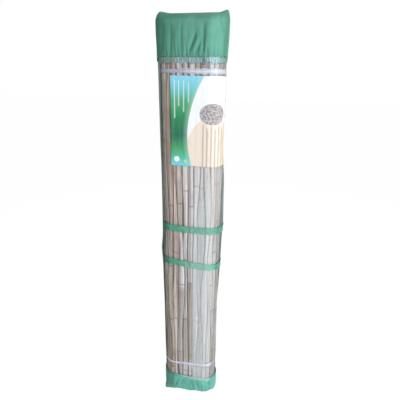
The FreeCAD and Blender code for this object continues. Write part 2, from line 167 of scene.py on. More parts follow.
@dataclass(frozen=True)
class Roll:
    """The slats' crowns, a flat oval that every layer follows.

    Attributes:
        width: Width over the crowns.
        depth: Depth over the crowns.
        slat_width: Mean width of a slat.
        slat_gap: Least mean gap between slats.
        width_spread: How far a slat's width differs from the mean.
        bulges: Share of the height, and how far the bag stands out there at its left and right.
    """

    width: float = 0.222
    depth: float = 0.100
    slat_width: float = 0.0182
    slat_gap: float = 0.0012
    width_spread: float = 0.0016
    bulges: tuple[tuple[float, float, float], ...] = (
        (0.00, 0.0002, 0.0036), (0.04, -0.0004, 0.0032), (0.07, -0.0020, 0.0022), (0.11, -0.0022, 0.0014),
        (0.14, -0.0012, 0.0012), (0.18, -0.0008, -0.0006), (0.27, -0.0012, -0.0014), (0.32, -0.0006, -0.0018),
        (0.37, 0.0008, -0.0002), (0.415, 0.0012, 0.0016), (0.443, 0.0032, 0.0028), (0.468, 0.0056, 0.0034),
        (0.49, 0.0018, 0.0038), (0.514, -0.0010, 0.0046), (0.55, -0.0014, 0.0076), (0.60, -0.0022, 0.0060),
        (0.66, -0.0024, 0.0042), (0.70, -0.0024, 0.0012), (0.74, -0.0010, -0.0018), (0.80, -0.0006, -0.0020),
        (0.845, -0.0003, 0.0008), (0.905, 0.0000, -0.0014), (0.93, 0.0006, -0.0034), (0.95, 0.0018, -0.0012),
        (0.98, 0.0032, 0.0012), (1.02, 0.0044, 0.0022),
    )

    @property
    def radius(self) -> float:
        """Radius of the two round ends."""
        return self.depth / 2

    @property
    def half_flat(self) -> float:
        """Half the length of a flat side."""
        return (self.width - self.depth) / 2

    @property
    def girth(self) -> float:
        """Length of the crowns' line."""
        return 4 * self.half_flat + 2 * math.pi * self.radius

    @property
    def foot(self) -> float:
        """Height of the slats' lower ends."""
        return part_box("slat_01")[0].z

    @property
    def top(self) -> float:
        """Height of the slats' upper ends."""
        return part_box("slat_01")[1].z

    def frame_at(self, distance: Array) -> tuple[Array, Array, Array, Array]:
        """Points on the crowns' line, as x and y, and the directions outwards there, as two parts."""
        along = np.mod(distance, self.girth)
        flat, bend = self.half_flat, math.pi * self.radius
        places = [along <= flat, along <= flat + bend, along <= 3 * flat + bend, along <= 3 * flat + 2 * bend]
        turns = [
            np.full_like(along, -math.pi / 2),
            (along - flat) / self.radius - math.pi / 2,
            np.full_like(along, math.pi / 2),
            (along - 3 * flat - bend) / self.radius + math.pi / 2,
        ]
        centres = [along, np.full_like(along, flat), 2 * flat + bend - along, np.full_like(along, -flat)]
        turn = np.select(places, turns, -math.pi / 2)
        centre = np.select(places, centres, along - self.girth)
        return centre + self.radius * np.cos(turn), self.radius * np.sin(turn), np.cos(turn), np.sin(turn)

    def signed(self, distance: Array) -> Array:
        """The places, counted to the left as negative."""
        return np.where(distance > self.girth / 2, distance - self.girth, distance)

    def beside(self, distance: Array, lines: Array) -> Array:
        """How far each place lies from each line, the short way round the roll."""
        return np.mod(distance[..., None] - lines + self.girth / 2, self.girth) - self.girth / 2

    def slats(self) -> list[tuple[float, float]]:
        """Centre and width of each slat of the outer turn, in the order of their numbers."""
        count = int(self.girth / (self.slat_width + self.slat_gap))
        widths = [self.slat_width + self.width_spread * math.sin(2.4 * n) for n in range(1, count + 1)]
        gap = (self.girth - sum(widths)) / count
        starts = np.cumsum([0.0] + [width + gap for width in widths[:-1]])
        return [(start + width / 2, width) for start, width in zip(starts, widths)]

    def hollow(self, distance: Array) -> Array:
        """How far a place lies from the nearest crown: 0 on it and 1 over a gap."""
        centres = np.array([centre for centre, _ in self.slats()])
        nearest = np.abs(self.beside(distance, centres)).min(axis=-1) / (self.girth / len(centres) / 2)
        return 0.5 - 0.5 * np.cos(math.pi * np.clip(nearest, 0.0, 1.0))

    def layer(self, distance: Array, height: Array, out: Array | float) -> Array:
        """Points of a layer round the roll.

        Args:
            distance: Places along the crowns' line.
            height: Heights of the points.
            out: How far the layer lies outside the crowns, before the bag's bulges.

        Returns:
            The points, in the shape of the places with a last axis of three.
        """
        distance, height, out = np.broadcast_arrays(distance, height, out)
        x, y, out_x, out_y = self.frame_at(distance)
        shares, left, right = zip(*self.bulges)
        share = (height - self.foot) / (self.top - self.foot)
        bulge = np.where(out_x < 0, np.interp(share, shares, left), np.interp(share, shares, right))
        reach = out + bulge * out_x ** 2
        return np.stack([x + out_x * reach, y + out_y * reach, height], axis=-1)


@dataclass(frozen=True)
class Seats:
    """How far each layer of the bag lies outside the slats' crowns."""

    wire: float = 0.00044
    label: float = 0.00164
    film: float = 0.00244
    cloth: float = 0.00324
    strap: float = 0.00424


@dataclass(frozen=True)
class SideSeams:
    """Where the window's film is sewn to the cloth.

    Attributes:
        places: Height, and the seam's place along the roll there at its left and right.
    """

    places: tuple[tuple[float, float, float], ...] = (
        (0.00, -0.114, 0.162), (0.46, -0.114, 0.162), (0.56, -0.108, 0.151), (0.68, -0.107, 0.146),
        (1.00, -0.106, 0.146), (1.06, -0.104, 0.158), (1.12, -0.102, 0.162), (1.20, -0.101, 0.162),
        (1.30, -0.098, 0.162), (1.40, -0.096, 0.156),
    )

    def at(self, height: Array) -> tuple[Array, Array]:
        """The left seam and the right seam at each height."""
        heights, left, right = zip(*self.places)
        return np.interp(height, heights, left), np.interp(height, heights, right)


ROLL = Roll()
SEATS = Seats()
SEAMS = SideSeams()


class Slot(Enum):
    """Material slots of the record."""

    BAMBOO = "bamboo"
    WIRE = "wire"
    RIBBON = "ribbon"
    STRAP = "strap"
    FILM = "film"
    LABEL = "label"
    CLOTH = "bag_cloth"


def grid_piece(
    name: str,
    points: Array,
    closed: bool = False,
    flat: tuple[Array, Array] | None = None,
    masks: dict[str, Array | float] | None = None,
) -> bpy.types.Object:
    """Makes a piece from a grid of points.

    Args:
        name: The piece's name.
        points: Rows of points, each row from left to right and the rows from low to high.
        closed: Whether each row runs back to its start.
        flat: The two places of each point on the flat sheet, for its print and weave.
        masks: Values at the points, by name.

    Returns:
        The new object.
    """
    rows, columns = points.shape[:2]
    number = np.arange(rows * columns).reshape(rows, columns)
    left = number if closed else number[:, :-1]
    right = np.roll(number, -1, axis=1) if closed else number[:, 1:]
    faces = np.stack([left[:-1], right[:-1], right[1:], left[1:]], axis=-1).reshape(-1, 4)
    mesh = bpy.data.meshes.new(name)
    mesh.from_pydata(points.reshape(-1, 3).tolist(), [], faces.tolist())
    mesh.polygons.foreach_set("use_smooth", [True] * len(mesh.polygons))
    if flat is not None:
        corners = np.empty(len(mesh.loops), np.int32)
        mesh.loops.foreach_get("vertex_index", corners)
        places = np.stack([np.broadcast_to(part, (rows, columns)).ravel() for part in flat], axis=-1)
        mesh.uv_layers.new(name="flat").data.foreach_set("uv", places[corners].ravel().astype(np.float32))
    for mask, values in (masks or {}).items():
        spread = np.broadcast_to(values, (rows, columns)).ravel().astype(np.float32)
        mesh.attributes.new(mask, "FLOAT", "POINT").data.foreach_set("value", spread)
    piece = bpy.data.objects.new(name, mesh)
    bpy.context.scene.collection.objects.link(piece)
    return piece


def thicken(piece: bpy.types.Object, thickness: float) -> None:
    """Gives a sheet its thickness, outwards."""
    shell = piece.modifiers.new("thickness", "SOLIDIFY")
    shell.thickness = thickness
    shell.offset = 1.0


def dress(piece: bpy.types.Object, finish: bpy.types.Material, nodes: tuple[str, ...]) -> None:
    """Gives a piece its finish and its body, and hides the solids it stands for.

    Args:
        piece: The piece.
        finish: Its material.
        nodes: Names of the solids that it replaces.
    """
    piece.data.materials.append(finish)
    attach(piece, "root")
    if nodes:
        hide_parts(*nodes)
    LOG.info("%s: %d faces", piece.name, len(piece.data.polygons))


# Shader graphs


class Value:
    """A shader socket that sums can be written with."""

    def __init__(self, graph: "Graph", socket: bpy.types.NodeSocket) -> None:
        """Wraps a socket of a graph."""
        self.graph = graph
        self.socket = socket

    def __add__(self, other: "Value | float") -> "Value":
        """Socket of the sum."""
        return self.graph.math("ADD", self, other)

    def __sub__(self, other: "Value | float") -> "Value":
        """Socket of the difference."""
        return self.graph.math("SUBTRACT", self, other)

    def __mul__(self, other: "Value | float") -> "Value":
        """Socket of the product."""
        return self.graph.math("MULTIPLY", self, other)

    def sine(self) -> "Value":
        """Socket of the value's sine."""
        return self.graph.math("SINE", self)

    def size(self) -> "Value":
        """Socket of the value without its sign."""
        return self.graph.math("ABSOLUTE", self)

    def rise(self, low: float, high: float, start: float = 0.0, end: float = 1.0) -> "Value":
        """Socket that goes smoothly from start to end as the value goes from low to high."""
        inputs = {"Value": self, "From Min": low, "From Max": high, "To Min": start, "To Max": end}
        return self.graph.value("MapRange", inputs, "Result", interpolation_type="SMOOTHSTEP")


Colour = Value | str


class Graph:
    """Adds nodes to one shader tree and joins their sockets."""

    def __init__(self, tree: bpy.types.NodeTree) -> None:
        """Starts on a tree."""
        self.tree = tree

    def feed(self, node: bpy.types.Node, name: str | int, value) -> None:
        """Joins a value to a node's input, or sets the input to a number or a colour."""
        if isinstance(value, Value):
            self.tree.links.new(value.socket, node.inputs[name])
        else:
            node.inputs[name].default_value = linear(value) if isinstance(value, str) else value

    def add(self, kind: str, inputs: dict | None = None, **settings) -> bpy.types.Node:
        """Adds a node.

        Args:
            kind: Its type, without the prefix ShaderNode.
            inputs: Values, numbers or colours, by the input's name or number.
            **settings: Properties of the node.

        Returns:
            The node.
        """
        node = self.tree.nodes.new(kind if kind.startswith("Node") else "ShaderNode" + kind)
        for name, value in settings.items():
            setattr(node, name, value)
        for name, value in (inputs or {}).items():
            self.feed(node, name, value)
        return node

    def value(self, kind: str, inputs: dict | None = None, output: str | int = 0, **settings) -> Value:
        """Adds a node and gives one of its outputs."""
        return Value(self, self.add(kind, inputs, **settings).outputs[output])

    def math(self, operation: str, first: Value | float, second: Value | float = 0.0) -> Value:
        """Result of a plain sum."""
        return self.value("Math", {0: first, 1: second}, operation=operation)

    def blend(self, share: Value, first: Colour, second: Colour, kind: str = "MIX") -> Value:
        """Colour between two others, or the first one multiplied in part by the second."""
        return self.value("Mix", {0: share, 6: first, 7: second}, 2, data_type="RGBA", blend_type=kind)

    def coats(self, tone: Colour, *layers: tuple[Value, Colour]) -> Value:
        """Colour after some layers, each given by how well it covers and its own colour."""
        for share, colour in layers:
            tone = self.blend(share, tone, colour)
        return tone

    def stretch(self, vector: Value, scale: tuple[float, float, float]) -> Value:
        """Vector scaled along its three axes."""
        return self.value("Mapping", {"Vector": vector, "Scale": scale})

    def scaled(self, vector: Value, share: Value) -> Value:
        """Vector multiplied by a number."""
        return self.value("VectorMath", {0: vector, "Scale": share}, operation="SCALE")

    def parts(self, vector: Value) -> list[Value]:
        """The three numbers of a vector."""
        return [Value(self, socket) for socket in self.add("SeparateXYZ", {0: vector}).outputs]

    def noise(self, vector: Value, scale, detail: float = 3.0, rough: float = 0.5) -> Value:
        """Smooth random value round one half, with one scale or one for each axis."""
        if isinstance(scale, tuple):
            vector, scale = self.stretch(vector, scale), 1.0
        inputs = {"Vector": vector, "Scale": scale, "Detail": detail, "Roughness": rough}
        return self.value("TexNoise", inputs, "Fac")

    def mask(self, name: str) -> Value:
        """Value stored at the mesh's points."""
        return self.value("Attribute", output="Fac", attribute_name=name)

    def place(self, name: str = "Object") -> Value:
        """Texture coordinate."""
        return self.value("TexCoord", output=name)


class Paint(Graph):
    """The graph of a new material, round its Principled shader."""

    def __init__(self, name: str) -> None:
        """Makes the material under a name."""
        self.material = bpy.data.materials.new(name)
        self.material.use_nodes = True
        super().__init__(self.material.node_tree)
        self.shader = self.tree.nodes["Principled BSDF"]

    def finish(
        self, tone: Value, rough: Value, height: Value, depth: float, strength: float, more: dict | None = None
    ) -> bpy.types.Material:
        """Joins what was made to the shader.

        Args:
            tone: The colour.
            rough: The roughness.
            height: The fine relief, from 0 to 1.
            depth: What a relief of 1 is in metres.
            strength: Share of the relief's effect.
            more: Further inputs of the shader, by name.

        Returns:
            The material.
        """
        bump = self.value("Bump", {"Height": height, "Distance": depth, "Strength": strength})
        inputs = {"Base Color": tone, "Roughness": rough, "Normal": bump, **(more or {})}
        for name, value in inputs.items():
            self.feed(self.shader, name, value)
        return self.material


class Effect:
    """A node group that several finishes share, made once from a vector and a number.

    Attributes:
        name: The group's name.
        given: Names of the vector and the number.
        results: Names of the values that it gives.
    """

    name: str
    given: tuple[str, str]
    results: tuple[str, ...]

    def build(self, graph: Graph, vector: Value, number: Value) -> tuple[Value, ...]:
        """Adds the nodes inside the group and gives its results in their order."""
        raise NotImplementedError

    def tree(self) -> bpy.types.NodeTree:
        """The group's tree, made when it is first asked for."""
        known = bpy.data.node_groups.get(self.name)
        if known:
            return known
        tree = bpy.data.node_groups.new(self.name, "ShaderNodeTree")
        for name, kind in zip(self.given, ("NodeSocketVector", "NodeSocketFloat")):
            tree.interface.new_socket(name, in_out="INPUT", socket_type=kind)
        for name in self.results:
            tree.interface.new_socket(name, in_out="OUTPUT", socket_type="NodeSocketFloat")
        graph = Graph(tree)
        vector, number, _ = (Value(graph, socket) for socket in graph.add("NodeGroupInput").outputs)
        graph.add("NodeGroupOutput", dict(zip(self.results, self.build(graph, vector, number))))
        return tree

    def use(self, graph: Graph, vector: Value, number: float) -> list[Value]:
        """Places the group in a material and gives its results in their order."""
        node = graph.add("Group", {0: vector, 1: number}, node_tree=self.tree())
        return [Value(graph, socket) for socket in node.outputs]


class FibreGrain(Effect):
    """Long fibres and slow blotches of split bamboo, running along Z."""

    name = "fibre_grain"
    given = ("Place", "Density")
    results = ("Fibres", "Streaks", "Blotches", "Splits")

    def build(self, graph: Graph, vector: Value, number: Value) -> tuple[Value, ...]:
        """Adds four noises of different stretch."""
        place = graph.scaled(vector, number)
        fibres = graph.noise(place, (900.0, 900.0, 9.0), 4.0, 0.6)
        streaks = graph.noise(place, (260.0, 260.0, 1.3), 2.0)
        blotches = graph.noise(place, (45.0, 45.0, 7.0), 3.0, 0.55)
        lines = graph.noise(place, (150.0, 150.0, 1.1), 1.0)
        return fibres, streaks, blotches, (lines - 0.56).size().rise(0.016, 0.004)


class ClothEmboss(Effect):
    """Small pressed points and loose fibres of a non-woven cloth, on its flat sheet."""

    name = "cloth_emboss"
    given = ("Flat", "Pitch")
    results = ("Points", "Fibres", "Clouds")

    def build(self, graph: Graph, vector: Value, number: Value) -> tuple[Value, ...]:
        """Adds the grid of points, the fibres and slow clouds."""
        across, up, _ = graph.parts(graph.scaled(vector, graph.math("DIVIDE", 1.0, number)))
        waves = (across * (2 * math.pi)).sine() * (up * (2 * math.pi)).sine()
        return waves.rise(0.35, 0.9), graph.noise(vector, 1400.0, 4.0, 0.7), graph.noise(vector, 28.0)


class Crinkle(Effect):
    """Fine creases of a thin film or ribbon, on its flat sheet."""

    name = "crinkle"
    given = ("Flat", "Scale")
    results = ("Creases", "Sheen")

    def build(self, graph: Graph, vector: Value, number: Value) -> tuple[Value, ...]:
        """Adds sharp ridges between cells and a slow sheen."""
        drawn = graph.stretch(vector, (1.0, 0.28, 1.0))
        inputs = {"Vector": drawn, "Scale": number}
        cells = graph.value("TexVoronoi", inputs, "Distance", feature="DISTANCE_TO_EDGE")
        sheen = graph.noise(drawn, number, 5.0)
        return cells.rise(0.0, 0.12, 1.0, 0.0) * sheen.rise(0.35, 0.65), sheen


@dataclass(frozen=True)
class BambooFinish:
    """Weathered skin of split bamboo.

    Attributes:
        name: The material's name.
        pale: Colour of the weathered skin.
        deep: Colour of the darker streaks.
        stain: Colour of stains and node rings.
        soil: Colour of the browner lengths, also laid as painted shade on the slats just below the top cap.
        edge_shade: Colour of painted shade along the slats' edges and backs, where the gaps between slats lie in
            shade.
        split: Colour of the fine splits.
        low_cast: What the skin is multiplied by below the bare part.
        high_cast: What it is multiplied by near the top.
    """

    name: str
    pale: str
    deep: str
    stain: str
    soil: str = "#8C7056"
    edge_shade: str = "#43362B"
    split: str = "#4A3D35"
    low_cast: str = "#F9FFFE"
    high_cast: str = "#F4F9FF"

    def material(self) -> bpy.types.Material:
        """Makes the material."""
        paint = Paint(self.name)
        place = paint.place()
        height = paint.parts(place)[2]
        fibres, streaks, blotches, splits = FibreGrain().use(paint, place, 1.0)
        tone = paint.coats(
            paint.blend(streaks.rise(0.43, 0.57), self.deep, self.pale),
            (blotches.rise(0.54, 0.74) * 0.55, self.stain),
            (fibres.rise(0.5, 0.8) * 0.35, self.stain),
            (paint.mask("ring") * 0.75, self.stain),
            # Browner lengths, and painted shade below the top cap, in one colour.
            (paint.mask("soil"), self.soil),
        )
        tone = paint.blend(height.rise(0.72, 0.90, 1.0, 0.0), tone, self.low_cast, "MULTIPLY")
        tone = paint.blend(height.rise(1.335, 1.355), tone, self.high_cast, "MULTIPLY")
        # Painted shade along the slats' edges and backs, where the gaps between them lie in shade; then the fine
        # splits.
        tone = paint.coats(tone, (paint.mask("edge") * 0.7, self.edge_shade), (splits * 0.6, self.split))
        rough = streaks.rise(0.3, 0.7, 0.5, 0.72)
        return paint.finish(tone, rough, fibres, 0.0004, 0.7, {"Specular IOR Level": 0.35})


class BambooTone(Enum):
    """Tones of the slats, as they have weathered."""

    TAN = BambooFinish("bamboo_tan", "#CBB8A8", "#7E6C5E", "#54443A")
    HONEY = BambooFinish("bamboo_honey", "#D6BEAB", "#A08A78", "#6A5646")
    GREY = BambooFinish("bamboo_grey", "#CFCAC3", "#847B72", "#5C534A")
    PINK = BambooFinish("bamboo_pink", "#E6D3CD", "#9F857B", "#6E594D")
    PALE = BambooFinish("bamboo_pale", "#F1ECEB", "#B4AAAB", "#7B716D")
    DRAB = BambooFinish("bamboo_drab", "#DDCAB8", "#9A8670", "#675440")


@dataclass(frozen=True)
class ClothFinish:
    """Green non-woven cloth.

    Attributes:
        name: The material's name.
        colour: Its colour.
        shade: Its colour where it is thin or creased.
        worn: Its paler colour in a strip along a hem.
        deep: Colour of painted shade: on sides turned from the light, in the furrows of creases and in a seam's
            slit.
        fluff: Colour of its loose fibres.
        thread: Colour of its stitches.
        pitch: Distance between its pressed points.
        depth: Depth of those points.
    """

    name: str
    colour: str
    shade: str
    worn: str = "#A9CFC6"
    deep: str = "#3F7C66"
    fluff: str = "#A5D2C2"
    thread: str = "#2F6B54"
    pitch: float = 0.0024
    depth: float = 0.00025

    def material(self) -> bpy.types.Material:
        """Makes the material."""
        paint = Paint(self.name)
        points, fibres, clouds = ClothEmboss().use(paint, paint.place("UV"), self.pitch)
        tone = paint.coats(
            paint.blend(clouds.rise(0.35, 0.65), self.shade, self.colour),
            (points * 0.18, self.shade),
            (fibres.rise(0.45, 0.75) * 0.12, self.fluff),
            # Painted shade where the mask says.
            (paint.mask("deep") * 0.6, self.deep),
            (paint.mask("worn") * 0.8, self.worn),
            (paint.mask("stitch"), self.thread),
        )
        rough = fibres.rise(0.3, 0.7, 0.72, 0.92)
        more = {"Sheen Weight": 0.04, "Sheen Roughness": 0.5, "Specular IOR Level": 0.12}
        return paint.finish(tone, rough, fibres * 0.35 - points, self.depth, 0.8, more)


@dataclass(frozen=True)
class WebbingFinish:
    """Woven strap with ribs along its length."""

    name: str = "strap_webbing"
    colour: str = "#69B199"
    shade: str = "#499379"
    # Paler green over the strap's right part: painted light from the lamp at the right.
    faded: str = "#A1DCCC"
    furrow: str = "#3B8267"
    thread: str = "#2F6B54"
    rib: float = 0.0021

    def material(self) -> bpy.types.Material:
        """Makes the material."""
        paint = Paint(self.name)
        flat = paint.place("UV")
        across, up, _ = paint.parts(flat)
        ribs = (up * (2 * math.pi / self.rib)).sine()
        picks = (across * (2 * math.pi / (0.6 * self.rib))).sine()
        clouds = paint.noise(flat, (70.0, 90.0, 1.0))
        tone = paint.coats(
            paint.blend(clouds.rise(0.35, 0.65), self.shade, self.colour),
            (paint.mask("faded") * 0.7, self.faded),
            # Darker in the furrows between the ribs: painted shade.
            (ribs.rise(0.2, -0.9) * 0.45, self.furrow),
            # The mask of stitches also lays painted shadow and crease shade.
            (paint.mask("stitch"), self.thread),
        )
        rough = clouds.rise(0.3, 0.7, 0.5, 0.68)
        return paint.finish(tone, rough, ribs * 0.5 + picks * 0.2, 0.0004, 0.8, {"Specular IOR Level": 0.2})


@dataclass(frozen=True)
class WireFinish:
    """Galvanised steel wire, dulled in patches."""

    name: str = "galvanised_wire"
    bright: str = "#B9BDBE"
    dull: str = "#7D8284"

    def material(self) -> bpy.types.Material:
        """Makes the material."""
        paint = Paint(self.name)
        patches = paint.noise(paint.place(), 260.0, 4.0)
        tone = paint.blend(patches.rise(0.35, 0.65), self.bright, self.dull)
        rough = patches.rise(0.3, 0.7, 0.28, 0.55)
        return paint.finish(tone, rough, patches, 0.0001, 0.5, {"Metallic": 1.0})


@dataclass(frozen=True)
class RibbonFinish:
    """White split-film ribbon, half clear where it is thin."""

    name: str = "tie_ribbon"
    colour: str = "#EAEDFA"
    shade: str = "#BFBFDA"
    # Lilac grey laid over the ribbon's left part as painted shade, where less light falls.
    bunched: str = "#A3A1C0"

    def material(self) -> bpy.types.Material:
        """Makes the material."""
        paint = Paint(self.name)
        flat = paint.place("UV")
        strands = paint.noise(flat, (14.0, 900.0, 1.0))
        creases, sheen = Crinkle().use(paint, flat, 120.0)
        tone = paint.blend(strands.rise(0.3, 0.6), self.shade, self.colour)
        tone = paint.blend(paint.mask("bunched"), tone, self.bunched)
        cover = paint.math("MAXIMUM", strands.rise(0.3, 0.62, 0.2, 0.8), paint.mask("dense"))
        rough = sheen.rise(0.3, 0.7, 0.25, 0.5)
        return paint.finish(tone, rough, strands + creases, 0.0005, 0.8, {"Alpha": cover})


@dataclass(frozen=True)
class FilmFinish:
    """Clear film, whitened where its mask says by a painted reflection of a bright surround.

    Attributes:
        name: The material's name.
        colour: Colour of the painted reflection.
        streak: Colour of the streaks in that reflection.
        clear: Cover of the clear parts, for one face of the film.
        glare_cover: Cover of the painted reflection.
        most: The most that it covers.
    """

    name: str = "clear_film"
    colour: str = "#F6FBFD"
    streak: str = "#E6F0F5"
    clear: float = 0.014
    glare_cover: float = 0.385
    most: float = 0.95

    def material(self) -> bpy.types.Material:
        """Makes the material."""
        paint = Paint(self.name)
        flat = paint.place("UV")
        creases, sheen = Crinkle().use(paint, flat, 34.0)
        streaks = paint.noise(flat, (110.0, 5.0, 1.0), 4.0, 0.6)
        # Painted reflection: the film turns whitish where its mask says, and faintly along its crinkles.
        haze = paint.mask("haze") * streaks.rise(0.25, 0.7, 0.85, 1.05)
        cover = haze * self.glare_cover + self.clear + creases * 0.05
        tone = paint.blend(streaks.rise(0.3, 0.7), self.streak, self.colour)
        rough = sheen.rise(0.3, 0.7, 0.16, 0.34)
        more = {"Alpha": paint.math("MINIMUM", cover, self.most), "Specular IOR Level": 0.3}
        return paint.finish(tone, rough, creases, 0.0006, 0.5, more)


@dataclass(frozen=True)
class GatherFinish:
    """Sewn edge where film lies crinkled over green cloth."""

    name: str = "seam_gather_film"
    cloth: str = "#6F9388"
    film: str = "#86B3BA"
    bright: str = "#BDDDE3"
    furrow: str = "#44706B"
    seam: str = "#3C5A54"

    def material(self) -> bpy.types.Material:
        """Makes the material."""
        paint = Paint(self.name)
        creases = paint.noise(paint.place("UV"), (420.0, 60.0, 1.0), 4.0, 0.6)
        # Pale flecks on the crinkles' ridges are painted highlights, and the darker colour in their hollows is
        # painted shade.
        crinkled = paint.blend(creases.rise(0.42, 0.66), self.film, self.bright)
        crinkled = paint.blend(creases.rise(0.42, 0.30), crinkled, self.furrow)
        # The dark mark in the seam colour is painted shade below a furrow of the cap.
        tone = paint.coats(self.cloth, (paint.mask("aqua"), crinkled), (paint.mask("dark"), self.seam))
        rough = creases.rise(0.3, 0.7, 0.25, 0.55)
        return paint.finish(tone, rough, creases, 0.0008, 0.8, {"Alpha": paint.mask("cover")})


@dataclass(frozen=True)
class PrintFinish:
    """Printed card: plain fields, an arc, reeds and dots, with no words.

    Attributes:
        name: The material's name.
        stops: Share of the way up the field, and its colour there.
        bars: Place of each bar, and its lower and upper end.
        dots: Place and height of each dot, its radius and its colour.
    """

    name: str = "printed_sheet"
    stops: tuple[tuple[float, str], ...] = (
        (0.0, "#7CD8F0"), (0.10, "#52C2A4"), (0.20, "#3AA268"), (0.36, "#0C6A4E"),
        (0.55, "#178756"), (0.74, "#47A876"), (0.88, "#72CCD8"), (1.0, "#8FD8F4"),
    )
    bars: tuple[tuple[float, float, float], ...] = (
        (0.07, 0.55, 0.95), (0.14, 0.68, 0.95), (0.30, 0.72, 0.93), (0.22, 0.62, 0.95),
    )
    dots: tuple[tuple[float, float, float, str], ...] = (
        (0.10, 0.08, 0.050, "#F4F6F2"), (0.25, 0.06, 0.030, "#D9DC86"),
    )

    def material(self) -> bpy.types.Material:
        """Makes the material."""
        paint = Paint(self.name)
        flat = paint.place("UV")
        across, up, _ = paint.parts(flat)
        tone = self.ground(paint, across, up)
        for layer in (self.reeds, self.field, self.marks):
            tone = layer(paint, across, up, tone)
        paper = paint.noise(flat, 300.0)
        rough = paper.rise(0.3, 0.7, 0.28, 0.4)
        return paint.finish(tone, rough, paper, 0.00005, 0.4, {"Specular IOR Level": 0.15})

    def ground(self, paint: Paint, across: Value, up: Value) -> Value:
        """White above and a cream hill below."""
        off = across - 0.70
        below = (off * off * -1.6 + 0.60 - up).rise(-0.006, 0.006)
        tone = paint.blend(below, "#F6FAFA", "#F1E4D6")
        return paint.blend(across.rise(0.935, 0.995), tone, "#CFE0EA")

    def reeds(self, paint: Paint, across: Value, up: Value, tone: Value) -> Value:
        """Grey-brown seed head and pale reeds on the hill."""
        inside = ((across * 47.0).sine() * 0.05 + 0.47 - up).rise(0.0, 0.01)
        reed = inside * (across * 95.0).sine().rise(0.1, 0.5) * across.rise(0.50, 0.52)
        warm = across.rise(0.88, 0.91) * up.rise(0.44, 0.40)
        wide = across - 0.70
        high = (up - 0.60) * 1.9
        disc = (wide * wide + high * high).rise(0.050, 0.046)
        grit = paint.noise(paint.place("UV"), (34.0, 48.0, 1.0), 3.0, 0.7)
        seeds = paint.blend(grit.rise(0.42, 0.58), "#7E777E", "#CDC5C8")
        return paint.coats(tone, (reed * 0.7, "#B5A39A"), (warm * 0.8, "#E9CF98"), (disc, seeds))

    def field(self, paint: Paint, across: Value, up: Value, tone: Value) -> Value:
        """Field at the left from sky blue to leaf green, with a bowed edge."""
        off = up * 2.0 - 0.7
        inside = off * off * 0.16 + 0.28 - across
        ramp = paint.add("ValToRGB", {"Fac": up})
        elements = ramp.color_ramp.elements
        while len(elements) < len(self.stops):
            elements.new(0.5)
        for element, (place, colour) in zip(elements, self.stops):
            element.position = place
            element.color = linear(colour)
        shade = paint.blend(inside.rise(0.10, 0.0) * 0.35, Value(paint, ramp.outputs["Color"]), "#BDE8DC")
        return paint.blend(inside.rise(-0.004, 0.004), tone, shade)

    def marks(self, paint: Paint, across: Value, up: Value, tone: Value) -> Value:
        """Four plain upright bars and two dots."""
        for place, low, high in self.bars:
            line = (across - place).size().rise(0.012, 0.008) * up.rise(low - 0.004, low + 0.004)
            tone = paint.blend(line * up.rise(high + 0.004, high - 0.004) * 0.6, tone, "#EAF8F6")
        for place, level, size, colour in self.dots:
            wide = across - place
            tall = (up - level) * 1.43
            reach = paint.math("SQRT", wide * wide + tall * tall)
            tone = paint.blend(reach.rise(size, size - 0.005), tone, colour)
        return tone


# Sub-assemblies


